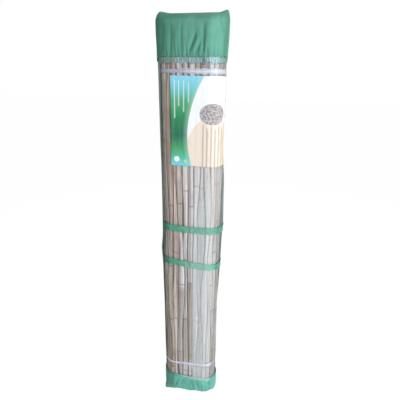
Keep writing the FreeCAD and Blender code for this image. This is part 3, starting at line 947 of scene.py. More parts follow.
@dataclass
class SlatTurn:
    """The outer turn of slats, each with its node rings and its own tone.

    Attributes:
        wall: Thickness of a slat.
        culm: Radius of the culm that it is split from.
        wander: How far the line between two slats mostly leaves its place.
        most_wander: The most that it may.
        least_gap: Gap where two slats touch nearly.
        slit: How much wider the gap may open.
        sink: How far a slat may lie behind the crowns' line.
        step: Height between two rows of points.
        bump: How far a node ring stands out.
        swell: Half height of its swelling.
        pitch: Mean distance between the node rings of a slat.
        pitch_spread: How far that distance differs from the mean.
        ring_height: Height of a node ring.
        ring_rows: Heights of the rows of points beside a ring.
        tones: Tone of each slat.
        soiled_and_shaded: Slats that are browner in part, where the lengths from 1.34 to the top are painted
            shade below the top cap: number, lowest and highest place, and how much.
        joints: Slats in two lengths: number, and height where one ends on the other.
        skin: Places across the front of a slat, as shares of its half width.
        back: Places across its back.
    """

    wall: float = 0.0035
    culm: float = 0.030
    wander: float = 0.0045
    most_wander: float = 0.0062
    least_gap: float = 0.0008
    slit: float = 0.0042
    sink: float = 0.0009
    step: float = 0.022
    bump: float = 0.0005
    swell: float = 0.0028
    pitch: float = 0.305
    pitch_spread: float = 0.046
    ring_height: float = 0.014
    ring_rows: tuple[float, ...] = (-0.008, -0.004, -0.0015, 0.0, 0.0015, 0.004, 0.008)
    tones: str = (
        "PALE PALE GREY PALE PINK GREY GREY TAN PINK GREY PALE TAN GREY HONEY PINK "
        "GREY TAN PALE GREY TAN PINK TAN GREY GREY DRAB PINK PALE PALE"
    )
    # The lengths from 1.34 to 1.50 are painted shade below the top cap; the lower lengths are browner skin.
    soiled_and_shaded: tuple[tuple[int, float, float, float], ...] = (
        (1, 0.17, 0.575, 0.60), (1, 1.34, 1.50, 0.25), (2, 1.34, 1.50, 0.80), (3, 1.34, 1.50, 0.90),
        (4, 0.83, 1.06, 0.25), (5, 1.34, 1.50, 0.45), (6, 1.34, 1.50, 0.85), (7, 1.34, 1.50, 0.70),
        (24, 0.00, 0.60, 0.60), (24, 1.20, 1.34, 0.35), (25, 1.06, 1.24, 0.75), (25, 1.24, 1.50, 0.45),
        (26, 0.98, 1.50, 0.60), (27, 0.00, 0.54, 0.40), (27, 0.80, 1.00, 0.60), (27, 1.00, 1.34, 0.30),
        (27, 1.34, 1.50, 0.25), (28, 0.17, 0.40, 0.45), (28, 1.34, 1.50, 0.55),
    )
    joints: tuple[tuple[int, float], ...] = ((1, 0.575), (5, 0.570))
    skin: tuple[float, ...] = (-1.0, -0.93, -0.78, -0.5, -0.2, 0.1, 0.4, 0.66, 0.80, 0.94, 1.0)
    back: tuple[float, ...] = (0.98, 0.4, -0.4, -0.98)

    @property
    def room(self) -> float:
        """Half the mean gap between two slats."""
        return (ROLL.girth / len(ROLL.slats()) - ROLL.slat_width) / 2

    def rings(self, number: int) -> list[float]:
        """Heights of a slat's node rings, and of its joint where it has one."""
        pitch = self.pitch + self.pitch_spread * round(math.sin(1.7 * number), 3)
        start = round(0.2 + 0.6 * (0.618 * number % 1), 3)
        count = int((ROLL.top - ROLL.foot - start * pitch - self.ring_height / 2) / pitch)
        plain = [ROLL.foot + (start + more) * pitch for more in range(count + 1)]
        return sorted(plain + [height for slat, height in self.joints if slat == number])

    def levels(self, rings: list[float]) -> Array:
        """Heights of the rows of points, closer at the node rings."""
        plain = np.arange(ROLL.foot + self.step, ROLL.top - self.step / 2, self.step)
        near = np.add.outer(rings, self.ring_rows).ravel()
        clear = [level for level in plain if np.abs(near - level).min() > 0.006]
        ends = [ROLL.foot, ROLL.foot + 0.001, ROLL.top - 0.001, ROLL.top]
        return np.array(sorted(clear + near.tolist() + ends))

    def section(self, half: Array) -> tuple[Array, Array, Array]:
        """Section of a slat for each row.

        Args:
            half: Half width of the slat at each row.

        Returns:
            Places across, depths behind the crown and how near each point is to an edge, which sets its painted
            shade.
        """
        skin, back = np.array(self.skin), np.array(self.back)
        turn = half[:, None] / self.culm
        edge = smooth(np.abs(skin), 0.74, 0.98)
        inner = self.culm - self.wall
        front_depth = self.culm * (1 - np.cos(turn * skin)) + 0.0006 * edge
        rear_depth = self.wall + inner * (1 - np.cos(turn * back)) - 0.0003 * np.abs(back)
        across = np.concatenate([self.culm * np.sin(turn * skin), inner * np.sin(turn * back)], axis=1)
        depth = np.concatenate([front_depth, rear_depth], axis=1)
        return across, depth, np.concatenate([edge, np.ones(len(back))])

    def edges(self, number: int, heights: Array) -> tuple[Array, Array]:
        """Where a slat's right edge and the next slat's left edge run, beside their straight line.

        Args:
            number: The slat's number, or 0 for the last slat.
            heights: Heights of the rows of points.

        Returns:
            The moves of the two edges along the roll.
        """
        place = (number - 1) % len(ROLL.slats()) + 1
        wander = Waves(400 + place, 3, (1.0, 2.0), (0.32, 1.2)).at(0.0, heights)
        opening = Waves(500 + place, 3, (1.0, 2.0), (0.25, 0.9)).at(0.0, heights)
        middle = np.clip(self.wander * wander, -self.most_wander, self.most_wander)
        gap = self.least_gap + self.slit * np.clip(opening - 0.5, 0.0, 1.0)
        return middle - gap / 2, middle + gap / 2

    def gap_lines(self, heights: Array) -> Array:
        """Places of the lines between the slats, a row for each height."""
        lines = [
            centre + width / 2 + self.room + sum(self.edges(number, heights)) / 2
            for number, (centre, width) in enumerate(ROLL.slats(), start=1)
        ]
        return np.stack(lines, axis=-1)

    def build_slat(self, number: int, centre: float, width: float) -> bpy.types.Object:
        """Makes one slat.

        Args:
            number: Its number round the turn.
            centre: Its middle along the crowns' line.
            width: Its width.

        Returns:
            The piece.
        """
        rings = self.rings(number)
        heights = self.levels(rings)
        left = -width / 2 - self.room + self.edges(number - 1, heights)[1]
        right = width / 2 + self.room + self.edges(number, heights)[0]
        across, depth, edge_shade = self.section((right - left) / 2)
        near = np.max([bell(heights, ring, self.swell) for ring in rings], axis=0)
        depth = depth - (self.bump * near)[:, None] * (depth < self.wall / 2)
        x, y, out_x, out_y = ROLL.frame_at(np.array([centre]))
        shift = across + ((left + right) / 2)[:, None]
        reach = -(depth + self.sink * np.random.default_rng(100 + number).uniform(0.0, 1.0))
        level = np.broadcast_to(heights[:, None], shift.shape)
        points = np.stack([x + out_x * reach - out_y * shift, y + out_y * reach + out_x * shift, level], axis=-1)
        soil = np.zeros_like(heights)
        for slat, start, end, share in self.soiled_and_shaded:
            if slat == number:
                soil += share * band(heights, start - 0.01, start, end, end + 0.002)
        # The edge mask lays painted shade along the slat's edges and over its back.
        masks = {"ring": near[:, None], "soil": soil[:, None], "edge": edge_shade}
        piece = grid_piece(f"bamboo_slat_{number:02d}", points, closed=True, masks=masks)
        self.close_ends(piece, len(self.skin + self.back))
        return piece

    def close_ends(self, piece: bpy.types.Object, columns: int) -> None:
        """Closes a slat's two ends, the first and the last row of points, with sawn faces."""
        work = bmesh.new()
        work.from_mesh(piece.data)
        corners = list(work.verts)
        work.faces.new(corners[:columns][::-1])
        work.faces.new(corners[-columns:])
        bmesh.ops.recalc_face_normals(work, faces=work.faces)
        work.to_mesh(piece.data)
        work.free()

    def build(self) -> None:
        """Makes every slat and gives the inner turns their finish."""
        finishes = {tone.name: tone.value.material() for tone in BambooTone}
        tones = self.tones.split()
        for number, (centre, width) in enumerate(ROLL.slats(), start=1):
            piece = self.build_slat(number, centre, width)
            dress(piece, finishes[tones[(number - 1) % len(tones)]], (f"slat_{number:02d}",))
        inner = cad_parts["inner_turns"]
        inner.data.materials.clear()
        inner.data.materials.append(finishes[BambooTone.TAN.name])


@dataclass
class BindingWires:
    """Rows of twisted wire, one strand before the slats and one behind them.

    Attributes:
        radius: Radius of a strand.
        sides: Points round it.
        per_slat: Rows of points over each slat.
        rear: How far the strand behind the slats lies inside their crowns.
        dip: How far the strands come towards each other between two slats.
        twist: How far they cross there, up and down.
    """

    radius: float = 0.0005
    sides: int = 6
    per_slat: int = 10
    rear: float = 0.0057
    dip: float = 0.0012
    twist: float = 0.0004

    def build(self) -> None:
        """Makes each row as one piece of two strands."""
        finish = WireFinish().material()
        for node in sorted(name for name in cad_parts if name.startswith("binding_wire")):
            piece = self.row(node.replace("binding", "twisted"), middle_of(node))
            dress(piece, finish, (node,))

    def row(self, name: str, height: float) -> bpy.types.Object:
        """Two strands round the roll that dip towards each other between the slats.

        Args:
            name: The piece's name.
            height: Height of the row.

        Returns:
            The piece.
        """
        count = self.per_slat * len(ROLL.slats())
        distance = np.linspace(0.0, ROLL.girth, count, endpoint=False)[:, None]
        turns = np.linspace(0.0, 2 * math.pi, self.sides, endpoint=False)
        dip = ROLL.hollow(distance) ** 3
        x, y, out_x, out_y = ROLL.frame_at(distance)
        strands = []
        for part, out, sign in (("", SEATS.wire + self.radius, -1.0), ("_rear", -self.rear, 1.0)):
            reach = out + sign * self.dip * dip + self.radius * np.cos(turns)
            level = height + sign * self.twist * dip + self.radius * np.sin(turns)
            strand = np.stack([x + out_x * reach, y + out_y * reach, level], axis=-1)
            strands.append(grid_piece(name + part, np.concatenate([strand, strand[:1]]), closed=True))
        with bpy.context.temp_override(active_object=strands[0], selected_editable_objects=strands):
            bpy.ops.object.join()
        return strands[0]


@dataclass(frozen=True)
class Tie:
    """One ribbon round the roll.

    Attributes:
        node: The solid that it replaces.
        name: The piece's name.
        width: Its mean width.
        lean: Its slope to the right in degrees.
        seed: Start of its random draws.
        thin: Share of its width at its narrow left part.
        dense: How dense it is where it is open.
        slipped: How far it has slipped down.
    """

    node: str
    name: str
    width: float
    lean: float
    seed: int
    thin: float
    dense: float
    slipped: float

    def line(self, x: Array) -> Array:
        """Height of the ribbon's middle for each x."""
        return middle_of(self.node) - self.slipped + math.tan(math.radians(self.lean)) * x


TOP_TIE = Tie("top_tie", "tie_ribbon_top", 0.0175, -0.35, 11, 0.66, 0.26, 0.0035)
FOOT_TIE = Tie("foot_tie", "tie_ribbon_foot", 0.0160, 3.7, 12, 0.56, 0.97, 0.0024)


@dataclass
class TieRibbons:
    """White ribbons round the roll near its top and foot."""

    thickness: float = 0.0004
    columns: int = 420
    rows: int = 9

    def build(self) -> None:
        """Makes both ribbons."""
        finish = RibbonFinish().material()
        for tie in (TOP_TIE, FOOT_TIE):
            dress(self.ribbon(tie), finish, (tie.node,))

    def ribbon(self, tie: Tie) -> bpy.types.Object:
        """Makes one ribbon: narrow at the left and open at the right."""
        distance, up = net(0.0, ROLL.girth, self.columns, self.rows, closed=True)
        share = up - 0.5
        x = ROLL.frame_at(distance)[0]
        spread = tie.width * (tie.thin + (1.0 - tie.thin) * smooth(x, -0.06, 0.07))
        spread = spread * (1.0 + 0.14 * Waves(tie.seed, 4, (0.02, 0.07)).at(distance))
        drift = 0.0009 * Waves(tie.seed + 1, 3, (0.08, 0.3)).at(distance)
        height = tie.line(x) + drift + share * spread
        ruffle = Waves(tie.seed + 2, 6, (0.006, 0.03), (0.004, 0.012)).at(distance, height)
        out = SEATS.wire + 0.0003 - 0.0003 * ROLL.hollow(distance) + 0.00022 * (1 + ruffle)
        points = ROLL.layer(distance, height, np.minimum(out, SEATS.label - 0.0005))
        core = bell(share, 0.0, 0.22) * band(x, -0.05, 0.0, 0.085, 0.1) * (0.72 + 0.28 * smooth(x, 0.045, 0.06))
        masks = {
            # The ribbon's left part is painted darker as shade, more where it is less dense.
            "bunched": 0.75 * (1.05 - tie.dense) * (1.0 - smooth(x, -0.06, 0.04)),
            "dense": np.clip(tie.dense + core, 0.0, 1.0) * (1 - 0.75 * smooth(x, 0.092, 0.104)),
        }
        piece = grid_piece(tie.name, points, closed=True, flat=(distance, share * tie.width), masks=masks)
        thicken(piece, self.thickness)
        return piece


@dataclass
class PrintedSheet:
    """Card with a plain print, between the slats and the window."""

    left: float = -0.061
    width: float = 0.204
    raised: float = 0.003
    thickness: float = 0.0003
    columns: int = 110
    rows: int = 60

    def build(self) -> None:
        """Makes the card."""
        low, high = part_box("label_sheet")
        across, up = net(0.0, 1.0, self.columns, self.rows)
        distance = self.left + self.width * across
        height = low.z + (high.z + self.raised - low.z) * up
        points = ROLL.layer(distance, height, SEATS.label - 0.0002 * ROLL.hollow(distance))
        piece = grid_piece("printed_card", points, flat=(across, up))
        thicken(piece, self.thickness)
        dress(piece, PrintFinish().material(), ("label_sheet",))


@dataclass
class Window:
    """Clear film over the front of the roll.

    Attributes:
        lap: How far it reaches under the cloth at each side.
        tie_rows: Rows of points over the ribbon at the foot, besides its other rows.
        crease: Place of the long crease where its painted reflection starts.
    """

    lap: float = 0.012
    thickness: float = 0.0002
    columns: int = 300
    rows: int = 120
    tie_rows: int = 24
    crease: float = 0.019

    def haze(self, distance: Array, height: Array) -> Array:
        """How much painted reflection covers the film at each place, from 0 to 1."""
        bands = Waves(41, 6, (0.008, 0.03), (0.4, 1.6)).at(distance, height)
        clouds = Waves(42, 5, (0.05, 0.16), (0.12, 0.5)).at(distance, height)
        low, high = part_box("label_sheet")
        edge = self.crease + 0.002 * np.sin(9.0 * height)
        right = smooth(distance, edge - 0.001, edge + 0.003) * (1 - 0.75 * smooth(distance, 0.080, 0.098))
        upper = smooth(height, 0.86, 1.00)
        above = smooth(height, high.z - 0.004, high.z + 0.004)
        card = smooth(height, low.z - 0.012, low.z + 0.004) * (1 - above) * smooth(distance, -0.066, -0.058)
        veil = right * (1.0 - upper) * (0.92 + 0.08 * bands + 0.08 * clouds)
        veil += upper * smooth(distance, -0.01, 0.05) * (0.47 + 0.08 * bands + 0.1 * clouds)
        veil += 0.06 + 0.05 * np.clip(bands, 0, None)
        veil *= (1.0 - 0.9 * card) * (1.0 - 0.6 * above)
        veil += 0.36 * smooth(height, high.z, high.z + 0.01) * bell(distance, 0.078, 0.014, 4)
        veil += 0.55 * band(height, 0.78, 0.84, 1.02, 1.06) * (1 - smooth(distance, -0.104, -0.098))
        veil += 0.2 * (1.0 - smooth(height, 0.06, 0.11))
        return np.clip(veil, 0.0, 1.0) * self.touched(distance, height)

    def touched(self, distance: Array, height: Array) -> Array:
        """Share of the painted reflection left where the film lies on a ribbon or bridges two slats."""
        lines = SlatTurn().gap_lines(height[:, 0])[:, None, :]
        strength = np.random.default_rng(45).uniform(0.35, 1.0, lines.shape[-1])
        bridged = (strength * bell(ROLL.beside(distance, lines), 0.0, 0.0019)).max(axis=-1)
        bridged = bridged * (0.55 + 0.45 * smooth(height, 0.55, 0.75))
        pressed = bell(height, FOOT_TIE.line(ROLL.frame_at(distance)[0]), 0.0090, 4)
        return (1.0 - 0.8 * bridged) * (1.0 - 0.9 * pressed * smooth(distance, -0.02, 0.012))

    def build(self) -> None:
        """Makes the film."""
        low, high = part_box("clear_film")
        plain = np.linspace(low.z, high.z, self.rows)
        close = middle_of(FOOT_TIE.node) + np.linspace(-0.024, 0.024, self.tie_rows)
        height = np.unique(np.concatenate([plain, close]))[:, None]
        left, right = SEAMS.at(height)
        left, right = left - self.lap, right + self.lap
        distance = left + (right - left) * np.linspace(0.0, 1.0, self.columns)
        distance, height = np.broadcast_arrays(distance, height)
        wrinkles = Waves(43, 8, (0.012, 0.05), (0.05, 0.5)).at(distance, height)
        fine = Waves(44, 8, (0.004, 0.010), (0.03, 0.2)).at(distance, height)
        ridge = Fold((self.crease, low.z), (self.crease + 0.003, 0.86), 0.0022, 0.0008, 0.1)
        head = smooth(height, 1.345, 1.39)
        out = SEATS.film - 0.0002 * ROLL.hollow(distance) + 0.0002 + 0.00015 * wrinkles + 0.00006 * fine
        out = out + ridge.at(distance, height) + head * 0.0003 * (1 + fine)
        points = ROLL.layer(distance, height, np.clip(out, SEATS.film, SEATS.strap - 0.0006))
        # The mask of painted reflection over the film.
        masks = {"haze": self.haze(distance, height)}
        piece = grid_piece("window_film", points, flat=(distance, height), masks=masks)
        thicken(piece, self.thickness)
        dress(piece, FilmFinish().material(), ("clear_film",))
        flat_size = (float(np.mean(right - left)), high.z - low.z)


@dataclass
class BackPanel:
    """Green cloth round the back of the roll, sewn to the window at both sides."""

    thickness: float = 0.0004
    columns: int = 150
    rows: int = 130
    hem: float = 0.011

    def build(self, finish: bpy.types.Material) -> None:
        """Makes the cloth of a material."""
        low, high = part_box("back_panel")
        height = np.linspace(low.z, high.z, self.rows)[:, None]
        left, start = SEAMS.at(height)
        end = left + ROLL.girth
        distance = start + (end - start) * np.linspace(0.0, 1.0, self.columns)
        distance, height = np.broadcast_arrays(distance, height)
        inside = np.minimum(distance - start, end - distance)
        waves = Waves(51, 8, (0.03, 0.09), (0.15, 0.9)).at(distance, height)
        fine = Waves(52, 8, (0.010, 0.025), (0.06, 0.3)).at(distance, height)
        out = SEATS.cloth + 0.0005 * smooth(inside, 0.0, 0.05) * (1 + waves) - 0.0005 * ROLL.hollow(distance)
        out = out + 0.00012 * fine + 0.0004 * (1.0 - smooth(inside, self.hem - 0.0012, self.hem))
        points = ROLL.layer(distance, height, np.clip(out, SEATS.cloth, SEATS.strap + 0.0012))
        # A dark strip at the cloth's left edge: painted shadow in the slit beside the seam.
        slit = 1.0 - smooth(end - distance, 0.0012, 0.0034)
        masks = {
            "stitch": 0.5 * bell(inside, self.hem - 0.0025, 0.0007) * (np.mod(height, 0.004) < 0.0028),
            # A pale grey strip near the cloth's left seam.
            "worn": 1.2 * (1.0 - smooth(end - distance, 0.010, 0.022)) * (1.0 - slit),
            "deep": 0.8 * slit,
        }
        piece = grid_piece("back_cloth", points, flat=(distance, height), masks=masks)
        thicken(piece, self.thickness)
        dress(piece, finish, ("back_panel",))
        flat_size = (float(np.mean(end - start)), high.z - low.z)


@dataclass
class Straps:
    """Two webbing straps across the window, sewn in at the side seams.

    Attributes:
        left: Place of their left ends.
        right: Place of their right ends.
        crease: Place of the dark line across them, painted shade in the strap's crease.
    """

    left: float = -0.106
    right: float = 0.155
    width: float = 0.025
    thickness: float = 0.0009
    crease: float = 0.006
    columns: int = 190
    rows: int = 15

    def build(self) -> None:
        """Makes both straps."""
        finish = WebbingFinish().material()
        for part, lean, seed, faded in (("upper", -0.5, 61, 0.6), ("lower", -4.0, 71, 1.0)):
            node = f"{part}_strap"
            dress(self.strap(node, f"webbing_strap_{part}", lean, seed, faded), finish, (node,))

    def strap(self, node: str, name: str, lean: float, seed: int, faded: float) -> bpy.types.Object:
        """Makes one strap.

        Args:
            node: The solid that it replaces.
            name: The piece's name.
            lean: Its slope to the right in degrees.
            seed: Start of its random draws.
            faded: How much its right part is painted paler, as painted light from the lamp at the right.

        Returns:
            The piece.
        """
        distance, up = net(self.left, self.right, self.columns, self.rows)
        share = up - 0.5
        ends = ROLL.frame_at(np.array([self.left, self.right]))[0]
        slope = math.tan(math.radians(lean))
        middle = middle_of(node) - slope * ends.mean()
        sway = 0.0008 * Waves(seed, 3, (0.08, 0.25)).at(distance)
        pinch = 1.0 - 0.10 * bell(distance, 0.008, 0.007)
        height = middle + slope * ROLL.frame_at(distance)[0] + sway + share * self.width * pinch
        crease = Fold((0.004, middle - 0.012), (0.013, middle + 0.012), 0.003, 0.0012, 0.2)
        waves = Waves(seed + 1, 5, (0.02, 0.08), (0.02, 0.05)).at(distance, height)
        out = SEATS.strap + 0.0003 * (1 + waves) + crease.at(distance, height)
        out = out + 0.0005 * (2 * share) ** 2 - 0.0003 * ROLL.hollow(distance)
        points = ROLL.layer(distance, height, np.maximum(out, SEATS.strap - 0.0002))
        inside = np.minimum(distance - self.left, self.right - distance)
        # Stitches near both ends, painted shadow over the left end, and painted shade along the crease, all in
        # the thread's colour.
        stitch = bell(inside, 0.006, 0.0012) + 0.75 * (1 - smooth(distance, -0.096, -0.066))
        stitch = stitch + 0.7 * bell(distance, self.crease - 0.004 * share, 0.0018)
        # The right part is painted paler as light from the right, less so at the right end.
        pale = faded * smooth(distance, -0.045, 0.020) * (1 - 0.9 * smooth(distance, 0.085, 0.112))
        masks = {"stitch": np.clip(stitch, 0.0, 1.0), "faded": pale}
        piece = grid_piece(name, points, flat=(distance, share * self.width), masks=masks)
        thicken(piece, self.thickness)
        return piece


def creased(creases: tuple[Fold, ...], distance: Array, height: Array) -> Array:
    """How far all creases together move each place of a sheet outwards."""
    return sum(fold.at(distance, height) for fold in creases)


def stacked(low: Array, high: Array) -> Array:
    """The rows of one grid over those of another, where either may be a number for each of its rows."""
    columns = max(low.shape[1], high.shape[1])
    return np.concatenate([np.broadcast_to(part, (len(part), columns)) for part in (low, high)])


@dataclass
class TopCap:
    """Green cloth cap over the slats, gathered below and drawn flat into a seam at the top.

    Attributes:
        rise: Height of the seam above the slats.
        ear: How far the seam's ends stand up.
        front_lift: How much higher its foot is over the window than at the back.
        folds: Creases of the front.
    """

    rise: float = 0.028
    ear: float = 0.009
    thickness: float = 0.0005
    columns: int = 360
    rows: int = 40
    crown_rows: int = 18
    front_lift: float = 0.014
    folds: tuple[Fold, ...] = folds(
        (-0.056, 1.392, -0.054, 1.500, 0.0045, -0.0022),
        (-0.042, 1.390, -0.038, 1.490, 0.0050, 0.0018),
        (-0.026, 1.388, -0.022, 1.505, 0.0040, -0.0024),
        (-0.010, 1.384, 0.028, 1.482, 0.0040, -0.0044),
        (0.004, 1.386, 0.036, 1.468, 0.0045, 0.0040),
        (0.018, 1.384, 0.040, 1.450, 0.0036, -0.0034),
        (0.030, 1.384, 0.043, 1.436, 0.0030, 0.0018),
        (0.047, 1.384, 0.048, 1.508, 0.0056, -0.0044),
        (0.061, 1.380, 0.063, 1.520, 0.0100, 0.0026),
        (0.116, 1.390, 0.108, 1.470, 0.0040, -0.0026),
        (0.114, 1.462, 0.082, 1.516, 0.0038, -0.0030),
        (-0.090, 1.385, -0.080, 1.510, 0.0110, -0.0022),
    )

    def gathers(self, distance: Array, height: Array, foot: Array) -> Array:
        """Small pleats that fade upwards from the cap's foot."""
        fade = 1.0 - smooth(height - foot, 0.004, 0.055)
        pleats = Waves(81, 5, (0.008, 0.020), (0.10, 0.4)).at(distance, height)
        return 0.0007 * fade * (1.0 + 0.8 * bell(distance, 0.012, 0.055)) * (1.0 + pleats)

    def build(self, finish: bpy.types.Material) -> None:
        """Makes the cap of a material."""
        shoulder = ROLL.top + 0.001
        distance, share = net(0.0, ROLL.girth, self.columns, self.rows, closed=True)
        signed = ROLL.signed(distance)
        front = band(signed, -0.108, -0.096, 0.143, 0.156)
        ragged = 0.0012 * Waves(83, 4, (0.010, 0.04)).at(signed)
        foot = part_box("top_cap")[0].z + front * (self.front_lift + ragged)
        height = foot + share * (shoulder - foot)
        creases = creased(self.folds, signed, height)
        behind = creased(self.folds[::2], ROLL.girth / 2 - distance, height)
        waves = Waves(82, 7, (0.03, 0.10), (0.05, 0.3)).at(distance, height)
        free = smooth(height - foot, 0.0, 0.030)
        convex = 0.0030 * ROLL.frame_at(distance)[3] ** 2
        out = SEATS.strap + 0.0005 + self.gathers(signed, height, foot)
        out = out + free * (creases + behind + convex - 0.0004 * ROLL.hollow(distance) + 0.0004 * waves)
        skirt = ROLL.layer(distance, height, np.clip(out, SEATS.cloth + 0.0006, None))
        crown = self.crown(skirt[-1], shoulder)
        points = np.concatenate([skirt, crown])
        rows = stacked(height[:, :1], shoulder + np.linspace(0.004, 0.06, len(crown))[:, None])
        above_foot = stacked(height - foot, np.ones((len(crown), 1)))
        # Painted shade on the front: the left side and the right edge turned from the light, a band right of the
        # middle, and the furrows of the creases.
        aside = signed[:1]
        deep = 0.9 * (1 - smooth(aside, -0.055, 0.03)) * smooth(aside, -0.16, -0.10)
        deep = deep + 0.55 * bell(aside, 0.034, 0.017) + 0.95 * smooth(aside, 0.096, 0.120)
        furrows = stacked(np.clip(-creases / 0.004, 0.0, 1.0), np.zeros((len(crown), 1)))
        deep = deep * (1.0 - smooth(points[..., 1], -0.02, 0.0)) + 0.45 * furrows
        masks = {
            "stitch": 0.6 * bell(above_foot, 0.006, 0.0010) * (np.mod(distance[:1], 0.005) < 0.0035),
            "worn": 0.0,
            "deep": np.clip(deep, 0.0, 1.0),
        }
        piece = grid_piece("top_cap_cloth", points, closed=True, flat=(distance[:1], rows), masks=masks)
        thicken(piece, self.thickness)
        dress(piece, finish, ("top_cap",))

    def crown(self, rim: Array, shoulder: float) -> Array:
        """Rows from the shoulder up to the flat seam.

        Args:
            rim: The last row round the roll.
            shoulder: Its height.

        Returns:
            The rows above it.
        """
        x, y, _ = rim.T
        left = x < 0
        share = np.abs(x) / np.abs(x).max()
        ear = self.ear * np.where(left, 0.68 * smooth(share, 0.56, 0.98), 0.82 * smooth(share, 0.71, 1.0))
        corner = np.where(left, 0.88, 0.93)
        fall = np.where(left, 0.012, 0.008) * (np.clip(share - corner, 0.0, None) / (1 - corner)) ** 2
        height = ROLL.top + self.rise + ear - fall - shoulder
        to_x = x * np.where(left, 0.985, 0.965) - x
        to_y = np.where(y < 0, -0.0007, 0.0007) - y
        turn = np.linspace(0.0, math.pi / 2, self.crown_rows + 1)[1:, None]
        lean = 1.0 - np.cos(turn)
        up = 0.55 * np.sin(turn) + 0.45 * lean
        return np.stack([x + to_x * lean, y + to_y * lean, shoulder + height * up], axis=-1)


@dataclass
class SeamGathers:
    """Crinkled edge of the film and cloth, sewn together under the top cap.

    Attributes:
        left: Place of its left end.
        right: Place of its right end.
        rise: How far it reaches up under the cap.
        drop: How far it reaches down from the cap's lowest edge.
        ragged: How uneven its lower edge is.
    """

    left: float = -0.104
    right: float = 0.151
    rise: float = 0.019
    drop: float = 0.006
    ragged: float = 0.0030
    thickness: float = 0.0002
    columns: int = 300
    rows: int = 14

    def build(self) -> None:
        """Makes the band."""
        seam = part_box("top_cap")[0].z
        distance, share = net(self.left, self.right, self.columns, self.rows)
        foot = seam - self.drop + self.ragged * Waves(85, 5, (0.008, 0.04)).at(distance)
        height = foot + share * (seam + self.rise - foot)
        ruffle = Waves(86, 6, (0.0045, 0.012), (0.03, 0.12)).at(distance, height)
        fade = 1.0 - 0.7 * smooth(height, seam + 0.006, seam + self.rise)
        points = ROLL.layer(distance, height, SEATS.film + 0.0006 + 0.0005 * fade * (1 + ruffle))
        ends = 1.0 - smooth(distance, -0.068, -0.052) + smooth(distance, 0.052, 0.066)
        thin = 0.46 + 0.25 * np.clip(ruffle, -1, 1) * (1 - 0.6 * ends) + 0.42 * ends
        # A dark band below the cap's furrow near the middle: painted shade.
        dark = 0.8 * bell(distance, 0.050 - 0.2 * (height - seam), 0.0036)
        masks = {
            "aqua": smooth(distance, -0.066, -0.028) * (1.0 - 0.75 * smooth(distance, 0.080, 0.108)),
            "cover": np.maximum(np.clip(thin, 0.15, 0.95), dark) * smooth(height - foot, 0.0, 0.004),
            "dark": dark,
        }
        piece = grid_piece("seam_gathers", points, flat=(distance, height), masks=masks)
        thicken(piece, self.thickness)
        dress(piece, GatherFinish().material(), ())


